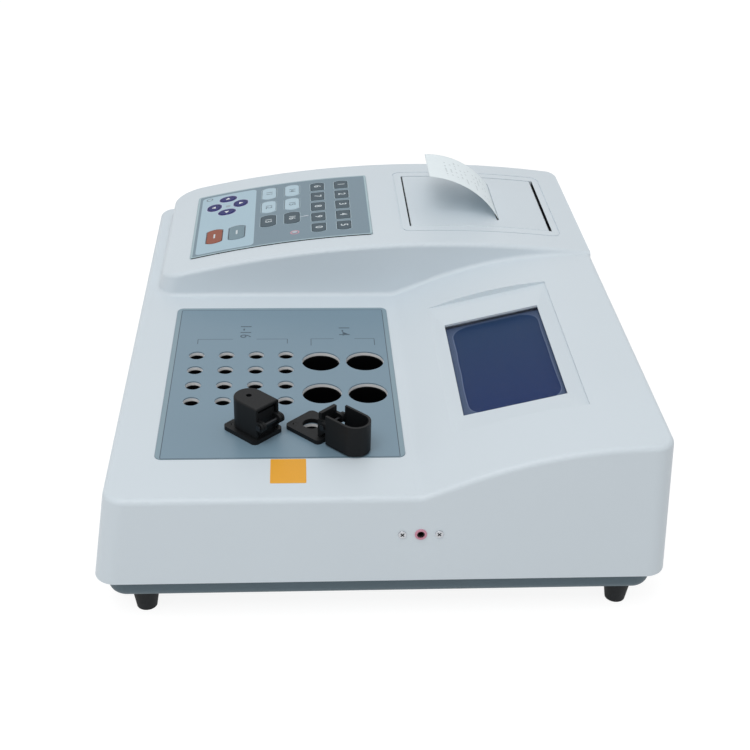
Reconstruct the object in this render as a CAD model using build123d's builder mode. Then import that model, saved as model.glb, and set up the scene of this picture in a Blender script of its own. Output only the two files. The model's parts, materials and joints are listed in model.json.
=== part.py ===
from build123d import *
from math import asin, atan, cos, degrees, pi, radians, sin, sqrt, tan
import os

os.makedirs("parts", exist_ok=True)

# Bench-top coagulation analyzer. Millimetres and degrees. The operator sits in front, at -Y.
# +X is the operator's right, +Z is up, and the origin is the middle of the footprint on the bench.

# Case: a low deck at the front right, a display slope behind it and a long hump on the left
hump_width = 141.0
display_width = 219.0
deck_depth = 161.0
display_depth = 125.0
foot_height = 13.0
tray_height = 13.0
deck_rise = 48.8
case_wall = 3.0
case_corner = 11.0
side_draft = 1.5
front_draft = 8.5
back_draft = 2.9
rim_fillet = 3.0
overrun = 1.0
seat_gap = 0.1
print_gap = 0.05

# Display slope
display_rise = 26.8
display_slope = 22.5
display_crest_radius = 240.0
display_crest_margin = 13.0
display_foot_radius = 14.0

# Hump
hump_rise = 34.0
hump_radius = 671.5
hump_crown_reach = 95.6
hump_front_margin = 15.3
hump_front_draft = 14.0
hump_wall_draft = 3.0
hump_near_corner = 12.0
hump_far_corner = 18.0
hump_crest_fillet = 3.0

# Base tray and feet
tray_inset = 5.5
tray_wall = 2.5
tray_corner = 10.0
tray_edge_fillet = 5.0
tray_flange = 2.5
tray_lip_rise = 4.0
tray_lip_gap = 0.4
foot_top_radius = 7.3
foot_tip_radius = 5.2
foot_side_inset = 11.5
foot_front_inset = 18.0
foot_back_inset = 15.0
foot_recess_radius = 3.7
foot_recess_depth = 4.0
foot_boss_radius = 4.0
foot_boss_rise = 7.0
foot_screw_grip = 6.0
screw_radius = 2.0
screw_head_radius = 3.5
screw_head_height = 2.4
screw_play = 0.1
screw_socket_radius = 1.3
screw_socket_depth = 1.4
case_boss_radius = 4.6
case_boss_side_inset = 30.0
case_boss_end_inset = 15.0
case_screw_grip = 12.0
tray_boss_rise = 16.0
counterbore_depth = 6.0
vent_width = 2.4
vent_length = 34.0
vent_pitch = 6.0
vent_count = 9

# Deck overlay and its wells
sheet_width = 164.5
sheet_length = 125.5
sheet_corner = 4.0
sheet_thickness = 0.6
sheet_proud = 0.3
sheet_wall_gap = 17.7
sheet_front_margin = 29.5
sheet_hole_play = 0.15
sheet_play = 0.2
sample_rows = 4
sample_pitch = 16.8
sample_radius = 4.25
reagent_radius = 10.6
reagent_pitch_x = 35.3
reagent_pitch_y = 24.8
wells_from_side = 83.7
samples_from_front = 39.9
reagents_from_front = 97.2

# Incubator and measuring block
block_gap = 0.3
block_bore_step = 0.15
block_margin = 5.0
incubator_height = 38.0
incubator_edge = 1.0
sample_depth = 30.0
reagent_depth = 33.0
heater_margin = 14.0
heater_thickness = 1.2
optics_margin = 10.0
optics_height = 34.0
cuvette_radius = 4.2
cuvette_depth = 26.0
beam_height = 6.0
lamp_radius = 2.5
lamp_length = 8.0
lamp_flange_radius = 2.9
lamp_flange = 1.0
lamp_play = 0.05
beam_radius = 1.0
post_radius = 3.5
post_inset = 5.5

# Measuring channels
channel_from_side = 28.3
channel_from_front = 62.7
channel_pitch = 32.0
channel_turn = 45.0
flange_front = 9.8
flange_back = 14.5
flange_half = 10.2
flange_thickness = 2.4
flange_corner = 2.6
flange_bore = 4.8
flange_screw_shares = ((-0.66, -0.66), (0.69, 0.71))
small_screw_radius = 1.0
small_screw_head = 1.9
small_screw_sink = 1.1
small_screw_length = 4.2
cap_radius = 7.85
cap_reach = 13.4
cap_height = 17.0
cap_wall = 1.3
cap_roof = 1.5
cap_hole_radius = 1.5
cap_lift = 0.4
cap_edge_fillet = 0.8
hinge_reach = 15.3
hinge_height = 10.2
hinge_ear_radius = 2.5
hinge_ear_thickness = 1.6
hinge_pin_radius = 1.0
hinge_play = 0.06
hinge_side_play = 0.25
back_wall_from = 10.4
back_wall_thickness = 2.0
back_wall_height = 14.0
back_wall_half = 5.6
pin_head_radius = 1.5
pin_head = 0.6

# Keypad on the hump
pad_width = 98.0
pad_length = 113.4
pad_corner = 1.5
pad_wall_gap = 18.8
pad_front_margin = 34.8
pad_recess = 1.8
pad_proud = 0.5
circuit_thickness = 0.5
pad_edge_play = 0.2
key_play = 0.25
key_travel = 0.4
key_proud = 0.7
key_edge = 0.3
key_corner = 1.2
letter_key = (18.4, 9.6)
digit_key = (13.4, 8.7)
action_key = (20.6, 10.1)
key_bulge = 2.0
petal_length = 10.4
petal_outer_rise = 4.6
petal_inner_rise = 3.6
petal_tip = 0.6
arrow_from_far = 23.6
arrow_from_front = 20.4
arrow_ring_x = 10.5
arrow_ring_y = 8.3
action_from_near = 26.6
action_from_front = 14.0
action_pitch = 14.3
letter_shift = -10.6
letter_from_front = 48.2
letter_pitch = 23.0
letter_row_pitch = 15.3
digit_shift = -1.4
digit_from_front = 80.4
digit_pitch = 17.0
digit_row_pitch = 15.9

# Printer on the hump
lid_width = 84.2
lid_length = 87.8
lid_thickness = 2.2
lid_wall_gap = 29.2
lid_back_margin = 25.2
lid_side_play = 0.3
lid_front_slit = 0.9
lid_back_slit = 1.7
lid_seat_gap = 0.2
lid_ledge = 4.0
lid_ledge_thickness = 1.8
lid_surround = 3.0
lid_corner = 1.0
lid_frame_side = 7.7
lid_frame_end = 6.5
lid_frame_corner = 6.0
lid_frame_groove = 0.8
lid_frame_depth = 0.4
lid_back_round = 1.0
slot_length = 61.4
slot_width = 1.6
slot_from_back = 31.3
slot_corner = 0.5
barrel_radius = 1.7
barrel_inset = 0.9
barrel_drop = 2.4
lid_pin_radius = 1.1
lid_pin_length = 3.0
lid_pin_play = 0.06
lid_boss_length = 6.0
lid_boss_width = 9.0
lid_boss_drop = 3.5
hinge_zone = 7.0
chassis_wall = 2.0
chassis_margin = 1.6
chassis_back_gap = 8.0
roll_radius = 19.0
roll_core_radius = 6.0
roll_width = 57.5
roll_from_slot = 28.5
roll_drop = 28.0
roll_play = 0.3
platen_radius = 5.0
platen_length = 60.0
platen_drop = 12.3
platen_shaft_radius = 2.0
platen_gear_radius = 7.5
platen_gear_width = 3.0
platen_gear_teeth = 20
platen_gear_tooth = 1.2
bearing_play = 0.06
paper_gap = 0.5
head_height = 14.0
head_depth = 7.0
head_length = 64.0
head_wall = 2.0
head_chamfer = 2.3
strip_width = 57.5
strip_thickness = 0.2
strip_root_drop = 0.8
strip_far_lean = 56.0
strip_far_radius = 51.5
strip_near_lean = 61.4
strip_near_radius = 57.2
strip_sweep = 57.4

# Display
lcd_tilt = 13.8
lcd_frame_width = 141.0
lcd_frame_length = 71.5
lcd_from_side = 115.0
lcd_from_kink = 17.8
lcd_funnel_depth = 2.5
lcd_view_width = 100.5
lcd_view_length = 54.9
lcd_pad_margin = 4.0
lcd_pad_drop = 5.5
lcd_lip = 1.2
lcd_window_overlap = 2.2
lcd_window_thickness = 1.5
lcd_module_overlap = 4.0
lcd_module_depth = 7.0
lcd_bezel_wall = 1.2
lcd_glass_drop = 0.8
lcd_board_width = 124.0
lcd_board_length = 66.0
lcd_post_radius = 2.4
lcd_post_inset = 4.0
lcd_chip_size = 14.0

# Boards
board_thickness = 1.6
main_board_width = 150.0
main_board_length = 84.0
main_board_side_gap = 24.0
main_board_back_gap = 30.0
board_lift = 8.0
standoff_radius = 3.0
stake_radius = 1.4
stake_rise = 1.2
stake_inset = 5.0
chip_height = 2.2
chip_size = 20.0
chip_pitch = (40.0, 30.0)
relay_size = (15.0, 10.0, 12.0)
relay_pitch = 30.0
supply_width = 96.0
supply_length = 84.0
supply_side_gap = 20.0
supply_front_gap = 34.0
transformer_size = (36.0, 30.0, 28.0)
heat_sink_size = (10.0, 60.0, 26.0)
heat_sink_inset = 15.0
capacitor_radius = 8.0
capacitor_height = 25.0
capacitor_pitch = 24.0

# Side jack
jack_height = 40.6
jack_from_back = 125.5
jack_ring_radius = 3.0
jack_ring_proud = 0.6
jack_barrel_radius = 2.5
jack_bore_radius = 1.4
jack_socket_radius = 1.9
jack_socket_length = 14.0
jack_nut_radius = 4.2
jack_nut_thickness = 2.0
jack_screw_spacing = 18.1
jack_screw_radius = 1.5
jack_screw_head_radius = 2.05
jack_screw_length = 9.0
jack_screw_dome = 0.5

# Rear connectors
inlet_from_side = 64.0
rear_height = 52.0
inlet_width = 49.0
inlet_height = 28.0
inlet_depth = 20.0
inlet_flange = 1.0
inlet_flange_margin = 3.0
inlet_corner = 2.0
socket_width = 24.0
socket_height = 16.5
socket_depth = 14.0
socket_corner = 4.0
socket_shift = 9.5
inlet_pin_width = 2.0
inlet_pin_height = 4.0
inlet_pin_spacing = 7.0
inlet_pin_length = 11.0
inlet_pin_rise = 2.0
rocker_shift = 15.0
rocker_width = 12.0
rocker_height = 20.0
rocker_well_depth = 12.0
rocker_tilt = 8.0
rocker_play = 0.35
rocker_face_drop = 2.6
rocker_pivot_drop = 3.0
rocker_sink = 4.0
rocker_pin_radius = 1.2
rocker_pin_length = 1.2
port_from_side = 70.0
port_width = 31.0
port_height = 12.6
port_shell_width = 17.0
port_shell_height = 8.0
port_shell_proud = 0.5
port_shell_wall = 0.5
port_shell_corner = 1.8
port_plate = 1.0
port_depth = 9.0
port_pin_radius = 0.5
port_pin_pitch = 2.76
port_pins = 5
port_screw_radius = 2.4
port_screw_spacing = 25.0

# Values that follow from those above
case_width = hump_width + display_width
case_depth = deck_depth + display_depth
right_x = case_width / 2
front_y = -case_depth / 2
back_y = case_depth / 2
rim_z = foot_height + tray_height
deck_z = rim_z + deck_rise
top_z = deck_z + hump_rise
reach = case_width + case_depth
wall_x = right_x - display_width
hump_centre = (back_y - hump_crown_reach, top_z - hump_radius)
floor_z = foot_height + tray_wall
tray_x = right_x - tray_inset
tray_front = front_y + tray_inset
tray_back = back_y - tray_inset

sheet_x = wall_x + sheet_wall_gap + sheet_width / 2
sheet_y = front_y + sheet_front_margin + sheet_length / 2
sheet_top = deck_z + sheet_proud
well_x = sheet_x - sheet_width / 2 + wells_from_side
sample_y = sheet_y - sheet_length / 2 + samples_from_front
reagent_y = sheet_y - sheet_length / 2 + reagents_from_front
channel_x = sheet_x + sheet_width / 2 - channel_from_side
channel_y = sheet_y - sheet_length / 2 + channel_from_front
channel_places = ((channel_x, channel_y - channel_pitch / 2), (channel_x, channel_y + channel_pitch / 2))
block_top = deck_z - case_wall - block_gap

slope_angle = radians(display_slope)
crest_start = (
    back_y - display_crest_margin - display_crest_radius * sin(slope_angle),
    deck_z + display_rise - display_crest_radius * (1 - cos(slope_angle)),
)
kink_y = crest_start[0] - (crest_start[1] - deck_z) / tan(slope_angle)

pad_x = wall_x - pad_wall_gap - pad_width / 2
pad_y = front_y + pad_front_margin + pad_length / 2
lid_x = wall_x - lid_wall_gap - lid_width / 2
lid_back = back_y - lid_back_margin
lid_y = lid_back - lid_length / 2
slot_y = lid_back - slot_from_back


def half_width(level):
    """Half of the case's width at a height, inside its side draft."""
    return right_x - (level - rim_z) * tan(radians(side_draft))


def front_at(level):
    """Y of the case's front face at a height."""
    return front_y + (level - rim_z) * tan(radians(front_draft))


def back_at(level):
    """Y of the case's back face at a height."""
    return back_y - (level - rim_z) * tan(radians(back_draft))


def hump_z(y):
    """Height of the hump's top at a depth."""
    return hump_centre[1] + sqrt(hump_radius**2 - (y - hump_centre[0]) ** 2)


def hump_plane(x, y):
    """Plane that lies on the hump's top, with its normal pointing out."""
    lean = asin((y - hump_centre[0]) / hump_radius)
    return Plane(origin=(x, y, hump_z(y)), x_dir=(1, 0, 0), z_dir=(0, sin(lean), cos(lean)))


def turned(plane, turn):
    """The same plane with its x axis turned about its normal."""
    x_dir = plane.x_dir * cos(radians(turn)) + plane.y_dir * sin(radians(turn))
    return Plane(origin=plane.origin, x_dir=x_dir, z_dir=plane.z_dir)


def hump_sheet(proud, drop, width, length, place, corner, rim=0):
    """Piece of a sheet bent as the hump is, from proud of the hump's top to a drop below it."""
    with BuildPart() as sheet:
        with BuildSketch(Plane.YZ):
            with Locations(hump_centre):
                Circle(hump_radius + proud)
                Circle(hump_radius - drop, mode=Mode.SUBTRACT)
        extrude(amount=reach, both=True)
        with BuildSketch(Plane.XY.offset(deck_z)):
            with Locations(place):
                RectangleRounded(width, length, corner)
                if rim:
                    RectangleRounded(width - 2 * rim, length - 2 * rim, corner - rim, mode=Mode.SUBTRACT)
        extrude(amount=hump_rise + hump_rise, mode=Mode.INTERSECT)
    return sheet.part


def drafted_block(skin, low, high):
    """The case's plan between two heights, with the drafts of its four faces."""
    with BuildPart() as block:
        for level in (low, high):
            y_front = front_at(level) + skin
            y_back = back_at(level) - skin
            with BuildSketch(Plane.XY.offset(level)):
                with Locations((0, (y_front + y_back) / 2)):
                    RectangleRounded(2 * (half_width(level) - skin), y_back - y_front, case_corner - skin)
        loft(ruled=True)
    return block.part


def display_form(skin):
    """Deck and display slope under their outer skin, right of the hump's wall."""
    radius = display_crest_radius - skin
    level = deck_z + display_rise - skin
    start = (
        back_y - display_crest_margin - radius * sin(slope_angle),
        level - radius * (1 - cos(slope_angle)),
    )
    foot_radius = display_foot_radius + skin
    bend_y = start[0] - (start[1] - deck_z + skin) / tan(slope_angle)
    with BuildPart() as form:
        with BuildSketch(Plane.YZ.offset(wall_x - hump_near_corner - hump_front_margin)):
            with BuildLine():
                deck = Line(
                    (-reach, deck_z - skin),
                    (bend_y - foot_radius * tan(slope_angle / 2), deck_z - skin),
                )
                foot = JernArc(deck @ 1, deck % 1, foot_radius, display_slope)
                ramp = Line(foot @ 1, start)
                crest = JernArc(ramp @ 1, ramp % 1, radius, -display_slope)
                Polyline(crest @ 1, (reach, level), (reach, 0), (-reach, 0), deck @ 0)
            make_face()
        extrude(amount=reach)
        with BuildSketch(Plane.XY):
            Rectangle(2 * reach, 2 * reach)
        extrude(amount=deck_z - skin)
    return form.part


def hump_form(skin, crest_fillet):
    """The hump's outer skin, drafted at its wall and front and bent along its top."""
    with BuildPart() as hump:
        for level in (rim_z, top_z + deck_rise):
            rise = level - deck_z
            x_wall = wall_x - skin - rise * tan(radians(hump_wall_draft))
            x_far = skin - half_width(level)
            y_front = front_y + hump_front_margin + skin + rise * tan(radians(hump_front_draft))
            with BuildSketch(Plane.XY.offset(level)):
                with BuildLine():
                    Polyline((x_far, y_front), (x_wall, y_front), (x_wall, reach), (x_far, reach), close=True)
                make_face()
                fillet(vertices().sort_by(Axis.Y)[:2].sort_by(Axis.X)[1], hump_near_corner - skin)
                fillet(vertices().sort_by(Axis.Y)[:2].sort_by(Axis.X)[0], hump_far_corner - skin)
        loft(ruled=True)
        with BuildSketch(Plane.YZ):
            with Locations(hump_centre):
                Circle(hump_radius - skin)
        extrude(amount=reach, both=True, mode=Mode.INTERSECT)
        if crest_fillet:
            crest = faces().sort_by(Axis.Z)[-1].edges()
            fillet(crest.filter_by(lambda edge: edge.center().Y < case_depth), crest_fillet)
    return hump.part


def case_form(skin, crest_fillet=0):
    """The closed outer form of the housing, inset by a skin, down past its rim."""
    low = rim_z if skin == 0 else rim_z - overrun
    with BuildPart() as form:
        add(display_form(skin))
        add(hump_form(skin, crest_fillet))
        add(drafted_block(skin, low, top_z + deck_rise), mode=Mode.INTERSECT)
    return form.part


def channel_spot(place, along, across):
    """Point of a measuring channel, along and across its own turned axes."""
    turn = radians(channel_turn)
    return (
        place[0] + along * cos(turn) - across * sin(turn),
        place[1] + along * sin(turn) + across * cos(turn),
    )


def is_rim(edge):
    """Edges round the deck and the display slope, and the line where the hump stands on the deck."""
    spot = edge.center()
    size = edge.bounding_box().size
    if spot.Z < deck_z - print_gap or size.Z > size.X + size.Y:
        return False
    near_side = spot.X > half_width(spot.Z) - case_corner
    at_back = spot.X > wall_x and spot.Y > back_at(spot.Z) - rim_fillet
    on_deck = abs(spot.Z - deck_z) < print_gap and spot.Y < kink_y - display_foot_radius
    return near_side or at_back or on_deck


# Places that several pieces share
case_boss_x = right_x - case_boss_side_inset
case_boss_y = back_y - case_boss_end_inset
case_boss_top = floor_z + tray_boss_rise
foot_x = tray_x - foot_side_inset
foot_places = (
    (foot_x, tray_front + foot_front_inset),
    (-foot_x, tray_front + foot_front_inset),
    (foot_x, tray_back - foot_back_inset),
    (-foot_x, tray_back - foot_back_inset),
)

recess_width = lid_width + 2 * lid_side_play
recess_length = lid_length + lid_front_slit + lid_back_slit
recess_y = lid_y + (lid_back_slit - lid_front_slit) / 2
recess_back = recess_y + recess_length / 2
recess_drop = lid_thickness + lid_seat_gap
bay_drop = recess_drop + lid_ledge_thickness
bay_width = recess_width - 2 * lid_ledge
bay_length = recess_length - lid_ledge
bay_y = recess_y + lid_ledge / 2
lid_axis_y = lid_back - barrel_inset
lid_axis_z = hump_z(lid_axis_y) - barrel_drop
lid_axis_plane = Plane(origin=(lid_x, lid_axis_y, lid_axis_z), x_dir=(0, 1, 0), z_dir=(1, 0, 0))

lcd_low_y = kink_y + lcd_from_kink
lcd_low_z = deck_z + lcd_from_kink * tan(slope_angle)
lcd_lean = radians(lcd_tilt)
lcd_plane = Plane(
    origin=(
        right_x - lcd_from_side,
        lcd_low_y + lcd_frame_length / 2 * cos(lcd_lean),
        lcd_low_z + lcd_frame_length / 2 * sin(lcd_lean),
    ),
    x_dir=(1, 0, 0),
    z_dir=(0, -sin(lcd_lean), cos(lcd_lean)),
)
lcd_window_width = lcd_view_width + 2 * lcd_window_overlap
lcd_window_length = lcd_view_length + 2 * lcd_window_overlap
lcd_seat_drop = lcd_funnel_depth + lcd_lip
lcd_post_x = lcd_board_width / 2 - lcd_post_inset
lcd_post_y = lcd_board_length / 2 - lcd_post_inset
lcd_board_drop = lcd_pad_drop + seat_gap + lcd_module_depth + seat_gap

jack_z = foot_height + jack_height
jack_y = back_y - jack_from_back
jack_lean = radians(side_draft)
jack_plane = Plane(
    origin=(half_width(jack_z), jack_y, jack_z),
    x_dir=(0, 1, 0),
    z_dir=(cos(jack_lean), 0, sin(jack_lean)),
)

rear_z = foot_height + rear_height
rear_lean = radians(back_draft)


def rear_plane(x):
    """Plane on the case's back face, with its normal pointing out and its y axis up the face."""
    return Plane(
        origin=(x, back_at(rear_z), rear_z),
        x_dir=(-1, 0, 0),
        z_dir=(0, cos(rear_lean), sin(rear_lean)),
    )


inlet_plane = rear_plane(inlet_from_side - right_x)
port_plane = rear_plane(right_x - port_from_side)

board_z = floor_z + board_lift
board_x = tray_x - main_board_side_gap - main_board_width / 2
board_y = tray_back - main_board_back_gap - main_board_length / 2
supply_x = supply_side_gap + supply_width / 2 - tray_x
supply_y = tray_front + supply_front_gap + supply_length / 2
board_reach = (main_board_width / 2 - stake_inset, main_board_length / 2 - stake_inset)
supply_reach = (supply_width / 2 - stake_inset, supply_length / 2 - stake_inset)
corner_signs = ((-1, -1), (-1, 1), (1, -1), (1, 1))
board_places = [
    (board_x + i * board_reach[0], board_y + j * board_reach[1]) for i, j in corner_signs
]
supply_places = [
    (supply_x + i * supply_reach[0], supply_y + j * supply_reach[1]) for i, j in corner_signs
]

flange_screw_spots = [(flange_half * i, flange_half * j) for i, j in flange_screw_shares]
channel_screw_places = [channel_spot(place, *spot) for place in channel_places for spot in flange_screw_spots]
turn_x = (cos(radians(channel_turn)), sin(radians(channel_turn)), 0)
channel_planes = [Plane(origin=(*place, sheet_top), x_dir=turn_x, z_dir=(0, 0, 1)) for place in channel_places]
open_origin = channel_spot(channel_places[1], 2 * hinge_reach, 0)
open_plane = Plane(
    origin=(*open_origin, sheet_top + 2 * hinge_height),
    x_dir=(-turn_x[0], -turn_x[1], 0),
    z_dir=(0, 0, -1),
)
ear_half = cap_radius - cap_wall - hinge_side_play

incubator_reach = (sample_rows - 1) / 2 * sample_pitch + sample_radius + block_margin
incubator_front = sample_y - incubator_reach
incubator_back = reagent_y + reagent_pitch_y / 2 + reagent_radius + block_margin
incubator_y = (incubator_front + incubator_back) / 2
incubator_length = incubator_back - incubator_front
optics_width = 2 * (cuvette_radius + optics_margin)
optics_length = channel_pitch + optics_width
beam_z = block_top - cuvette_depth + beam_height

bay_inner = bay_width / 2 + chassis_margin - chassis_wall
chassis_front = bay_y - bay_length / 2 - chassis_margin
chassis_back = lid_back - chassis_back_gap
chassis_y = (chassis_front + chassis_back) / 2
roll_y = slot_y - roll_from_slot
roll_z = top_z - roll_drop
chassis_floor = roll_z - roll_radius - lid_surround
platen_y = slot_y - paper_gap / 2 - platen_radius
platen_z = top_z - platen_drop
head_front = slot_y + paper_gap / 2
roll_plane = Plane(origin=(lid_x, roll_y, roll_z), x_dir=(0, 1, 0), z_dir=(1, 0, 0))
platen_plane = Plane(origin=(lid_x, platen_y, platen_z), x_dir=(0, 1, 0), z_dir=(1, 0, 0))

pad_front = pad_y - pad_length / 2
pad_far = pad_x - pad_width / 2
arrow_x = pad_far + arrow_from_far
arrow_y = pad_front + arrow_from_front
key_sink = pad_recess - circuit_thickness - key_travel - 2 * print_gap

# Keys: place, turn of the outline, and either a size with the bulge of each end or None for a petal
keys = {
    "key_arrow_up": (arrow_x - arrow_ring_x, arrow_y, 90, None, 0, 0),
    "key_arrow_left": (arrow_x, arrow_y - arrow_ring_y, 180, None, 0, 0),
    "key_arrow_down": (arrow_x + arrow_ring_x, arrow_y, 270, None, 0, 0),
    "key_arrow_right": (arrow_x, arrow_y + arrow_ring_y, 0, None, 0, 0),
}
for row, name in enumerate(("key_red", "key_grey")):
    action_x = pad_far + pad_width - action_from_near
    action_y = pad_front + action_from_front + row * action_pitch
    keys[name] = (action_x, action_y, 0, action_key, key_bulge, key_bulge)
for row, letter in enumerate("ab"):
    for column in range(3):
        letter_x = pad_x + letter_shift + (column - 1) * letter_pitch
        letter_y = pad_front + letter_from_front + row * letter_row_pitch
        keys[f"key_{letter}{column + 1}"] = (letter_x, letter_y, 0, letter_key, key_bulge, key_bulge)
for row, letter in enumerate("cd"):
    for column in range(5):
        digit_x = pad_x + digit_shift + (column - 2) * digit_pitch
        digit_y = pad_front + digit_from_front + row * digit_row_pitch
        far_bulge = key_bulge if column == 0 else 0
        near_bulge = key_bulge if column == 4 else 0
        keys[f"key_{letter}{column + 1}"] = (digit_x, digit_y, 0, digit_key, far_bulge, near_bulge)


def key_body(key, play, low, high):
    """Prism of a key's outline on the hump, grown by a play, between two heights off its skin."""
    x, y, turn, size, far_bulge, near_bulge = key
    plane = turned(hump_plane(x, y), turn)
    with BuildPart() as body:
        with BuildSketch(plane.offset(low)):
            with BuildLine():
                if size is None:
                    tip = petal_length / 2 + play
                    ThreePointArc((-tip, 0), (0, petal_outer_rise + play), (tip, 0))
                    ThreePointArc((tip, 0), (0, -petal_inner_rise - play), (-tip, 0))
                else:
                    half_x = size[0] / 2 + play
                    half_y = size[1] / 2 + play
                    far_x = -half_x + far_bulge
                    near_x = half_x - near_bulge
                    Line((far_x, -half_y), (near_x, -half_y))
                    if near_bulge:
                        ThreePointArc((near_x, -half_y), (half_x, 0), (near_x, half_y))
                    else:
                        Line((near_x, -half_y), (near_x, half_y))
                    Line((near_x, half_y), (far_x, half_y))
                    if far_bulge:
                        ThreePointArc((far_x, half_y), (-half_x, 0), (far_x, -half_y))
                    else:
                        Line((far_x, half_y), (far_x, -half_y))
            make_face()
            fillet(vertices(), petal_tip if size is None else key_corner)
        extrude(amount=high - low)
    return body.part


outer_form = case_form(0, hump_crest_fillet)
inner_form = case_form(case_wall)
middle_form = case_form(case_wall / 2)

with BuildPart() as housing_fittings:
    with BuildSketch(Plane.XY.offset(case_boss_top + seat_gap)):
        with GridLocations(2 * case_boss_x, 2 * case_boss_y, 2, 2):
            Circle(case_boss_radius)
    extrude(amount=top_z - case_boss_top)
    with BuildSketch(lcd_plane.offset(-lcd_pad_drop)):
        RectangleRounded(
            lcd_frame_width + 2 * lcd_pad_margin,
            lcd_frame_length + 2 * lcd_pad_margin,
            lcd_pad_margin,
        )
    extrude(amount=lcd_pad_drop + display_rise)
    with BuildSketch(lcd_plane.offset(-lcd_board_drop)):
        with GridLocations(2 * lcd_post_x, 2 * lcd_post_y, 2, 2):
            Circle(lcd_post_radius)
    extrude(amount=lcd_board_drop)
    add(
        hump_sheet(
            0,
            bay_drop,
            recess_width + 2 * lid_surround,
            recess_length + 2 * lid_surround,
            (lid_x, recess_y),
            lid_surround,
        )
    )
    with BuildSketch(lid_axis_plane.offset(recess_width / 2)):
        with Locations((0, (lid_ledge - lid_boss_drop) / 2)):
            Rectangle(lid_boss_width, lid_boss_drop + lid_ledge)
    extrude(amount=lid_boss_length)
    with BuildSketch(lid_axis_plane.offset(-recess_width / 2)):
        with Locations((0, (lid_ledge - lid_boss_drop) / 2)):
            Rectangle(lid_boss_width, lid_boss_drop + lid_ledge)
    extrude(amount=-lid_boss_length)
    add(middle_form, mode=Mode.INTERSECT)

with BuildPart() as top_housing:
    add(outer_form)
    fillet(edges().filter_by(is_rim), rim_fillet)
    add(inner_form, mode=Mode.SUBTRACT)
    add(housing_fittings.part)
    with BuildSketch(Plane.XY.offset(deck_z)):
        with Locations((sheet_x, sheet_y)):
            RectangleRounded(sheet_width + 2 * sheet_play, sheet_length + 2 * sheet_play, sheet_corner)
    extrude(amount=sheet_proud - sheet_thickness - print_gap, mode=Mode.SUBTRACT)
    with BuildSketch(Plane.XY.offset(deck_z)):
        with Locations((well_x, sample_y)):
            with GridLocations(sample_pitch, sample_pitch, sample_rows, sample_rows):
                Circle(sample_radius)
        with Locations((well_x, reagent_y)):
            with GridLocations(reagent_pitch_x, reagent_pitch_y, 2, 2):
                Circle(reagent_radius)
        with Locations(*channel_places):
            Circle(flange_bore)
        with Locations(*channel_screw_places):
            Circle(small_screw_radius + screw_play)
    extrude(amount=-case_wall - overrun, mode=Mode.SUBTRACT)
    add(
        hump_sheet(
            overrun,
            pad_recess,
            pad_width + 2 * pad_edge_play,
            pad_length + 2 * pad_edge_play,
            (pad_x, pad_y),
            pad_corner,
        ),
        mode=Mode.SUBTRACT,
    )
    add(
        hump_sheet(
            overrun,
            lid_frame_depth,
            lid_width + 2 * lid_frame_side,
            lid_length + 2 * lid_frame_end,
            (lid_x, lid_y),
            lid_frame_corner,
            lid_frame_groove,
        ),
        mode=Mode.SUBTRACT,
    )
    add(
        hump_sheet(overrun, recess_drop, recess_width, recess_length, (lid_x, recess_y), lid_corner),
        mode=Mode.SUBTRACT,
    )
    with BuildSketch(Plane.XY.offset(lid_axis_z - hump_rise / 2)):
        with Locations((lid_x, bay_y)):
            Rectangle(bay_width, bay_length)
        with Locations((lid_x, recess_back - hinge_zone / 2)):
            Rectangle(recess_width, hinge_zone)
    extrude(amount=hump_rise, mode=Mode.SUBTRACT)
    with BuildSketch(lid_axis_plane):
        Circle(lid_pin_radius + lid_pin_play)
    extrude(amount=lid_width / 2 + lid_pin_length + lid_side_play, both=True, mode=Mode.SUBTRACT)
    for depth in (0, lcd_funnel_depth):
        with BuildSketch(lcd_plane.offset(-depth)):
            if depth:
                Rectangle(lcd_view_width, lcd_view_length)
            else:
                Rectangle(lcd_frame_width, lcd_frame_length)
    loft(ruled=True, mode=Mode.SUBTRACT)
    with BuildSketch(lcd_plane):
        Rectangle(lcd_frame_width, lcd_frame_length)
    extrude(amount=display_rise, mode=Mode.SUBTRACT)
    with BuildSketch(lcd_plane):
        Rectangle(lcd_view_width, lcd_view_length)
    extrude(amount=-lcd_pad_drop - overrun, mode=Mode.SUBTRACT)
    with BuildSketch(lcd_plane.offset(-lcd_seat_drop)):
        Rectangle(lcd_window_width + 2 * seat_gap, lcd_window_length + 2 * seat_gap)
    extrude(amount=-lcd_pad_drop, mode=Mode.SUBTRACT)
    with BuildSketch(jack_plane.offset(overrun)):
        Circle(jack_barrel_radius + seat_gap)
        with GridLocations(jack_screw_spacing, 0, 2, 1):
            Circle(jack_screw_radius + screw_play)
    extrude(amount=-case_wall - 2 * overrun, mode=Mode.SUBTRACT)
    with BuildSketch(inlet_plane.offset(overrun)):
        Rectangle(inlet_width + 2 * seat_gap, inlet_height + 2 * seat_gap)
    extrude(amount=-case_wall - 2 * overrun, mode=Mode.SUBTRACT)
    with BuildSketch(port_plane.offset(overrun)):
        RectangleRounded(
            port_shell_width + 2 * seat_gap,
            port_shell_height + 2 * seat_gap,
            port_shell_corner,
        )
        with GridLocations(port_screw_spacing, 0, 2, 1):
            Circle(port_screw_radius + seat_gap)
    extrude(amount=-case_wall - 2 * overrun, mode=Mode.SUBTRACT)
    with BuildSketch(Plane.XY.offset(case_boss_top)):
        with GridLocations(2 * case_boss_x, 2 * case_boss_y, 2, 2):
            Circle(screw_radius + screw_play)
    extrude(amount=case_screw_grip + overrun, mode=Mode.SUBTRACT)

top_housing.part.label = "top_housing"
export_step(top_housing.part, "parts/top_housing.step")

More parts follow.
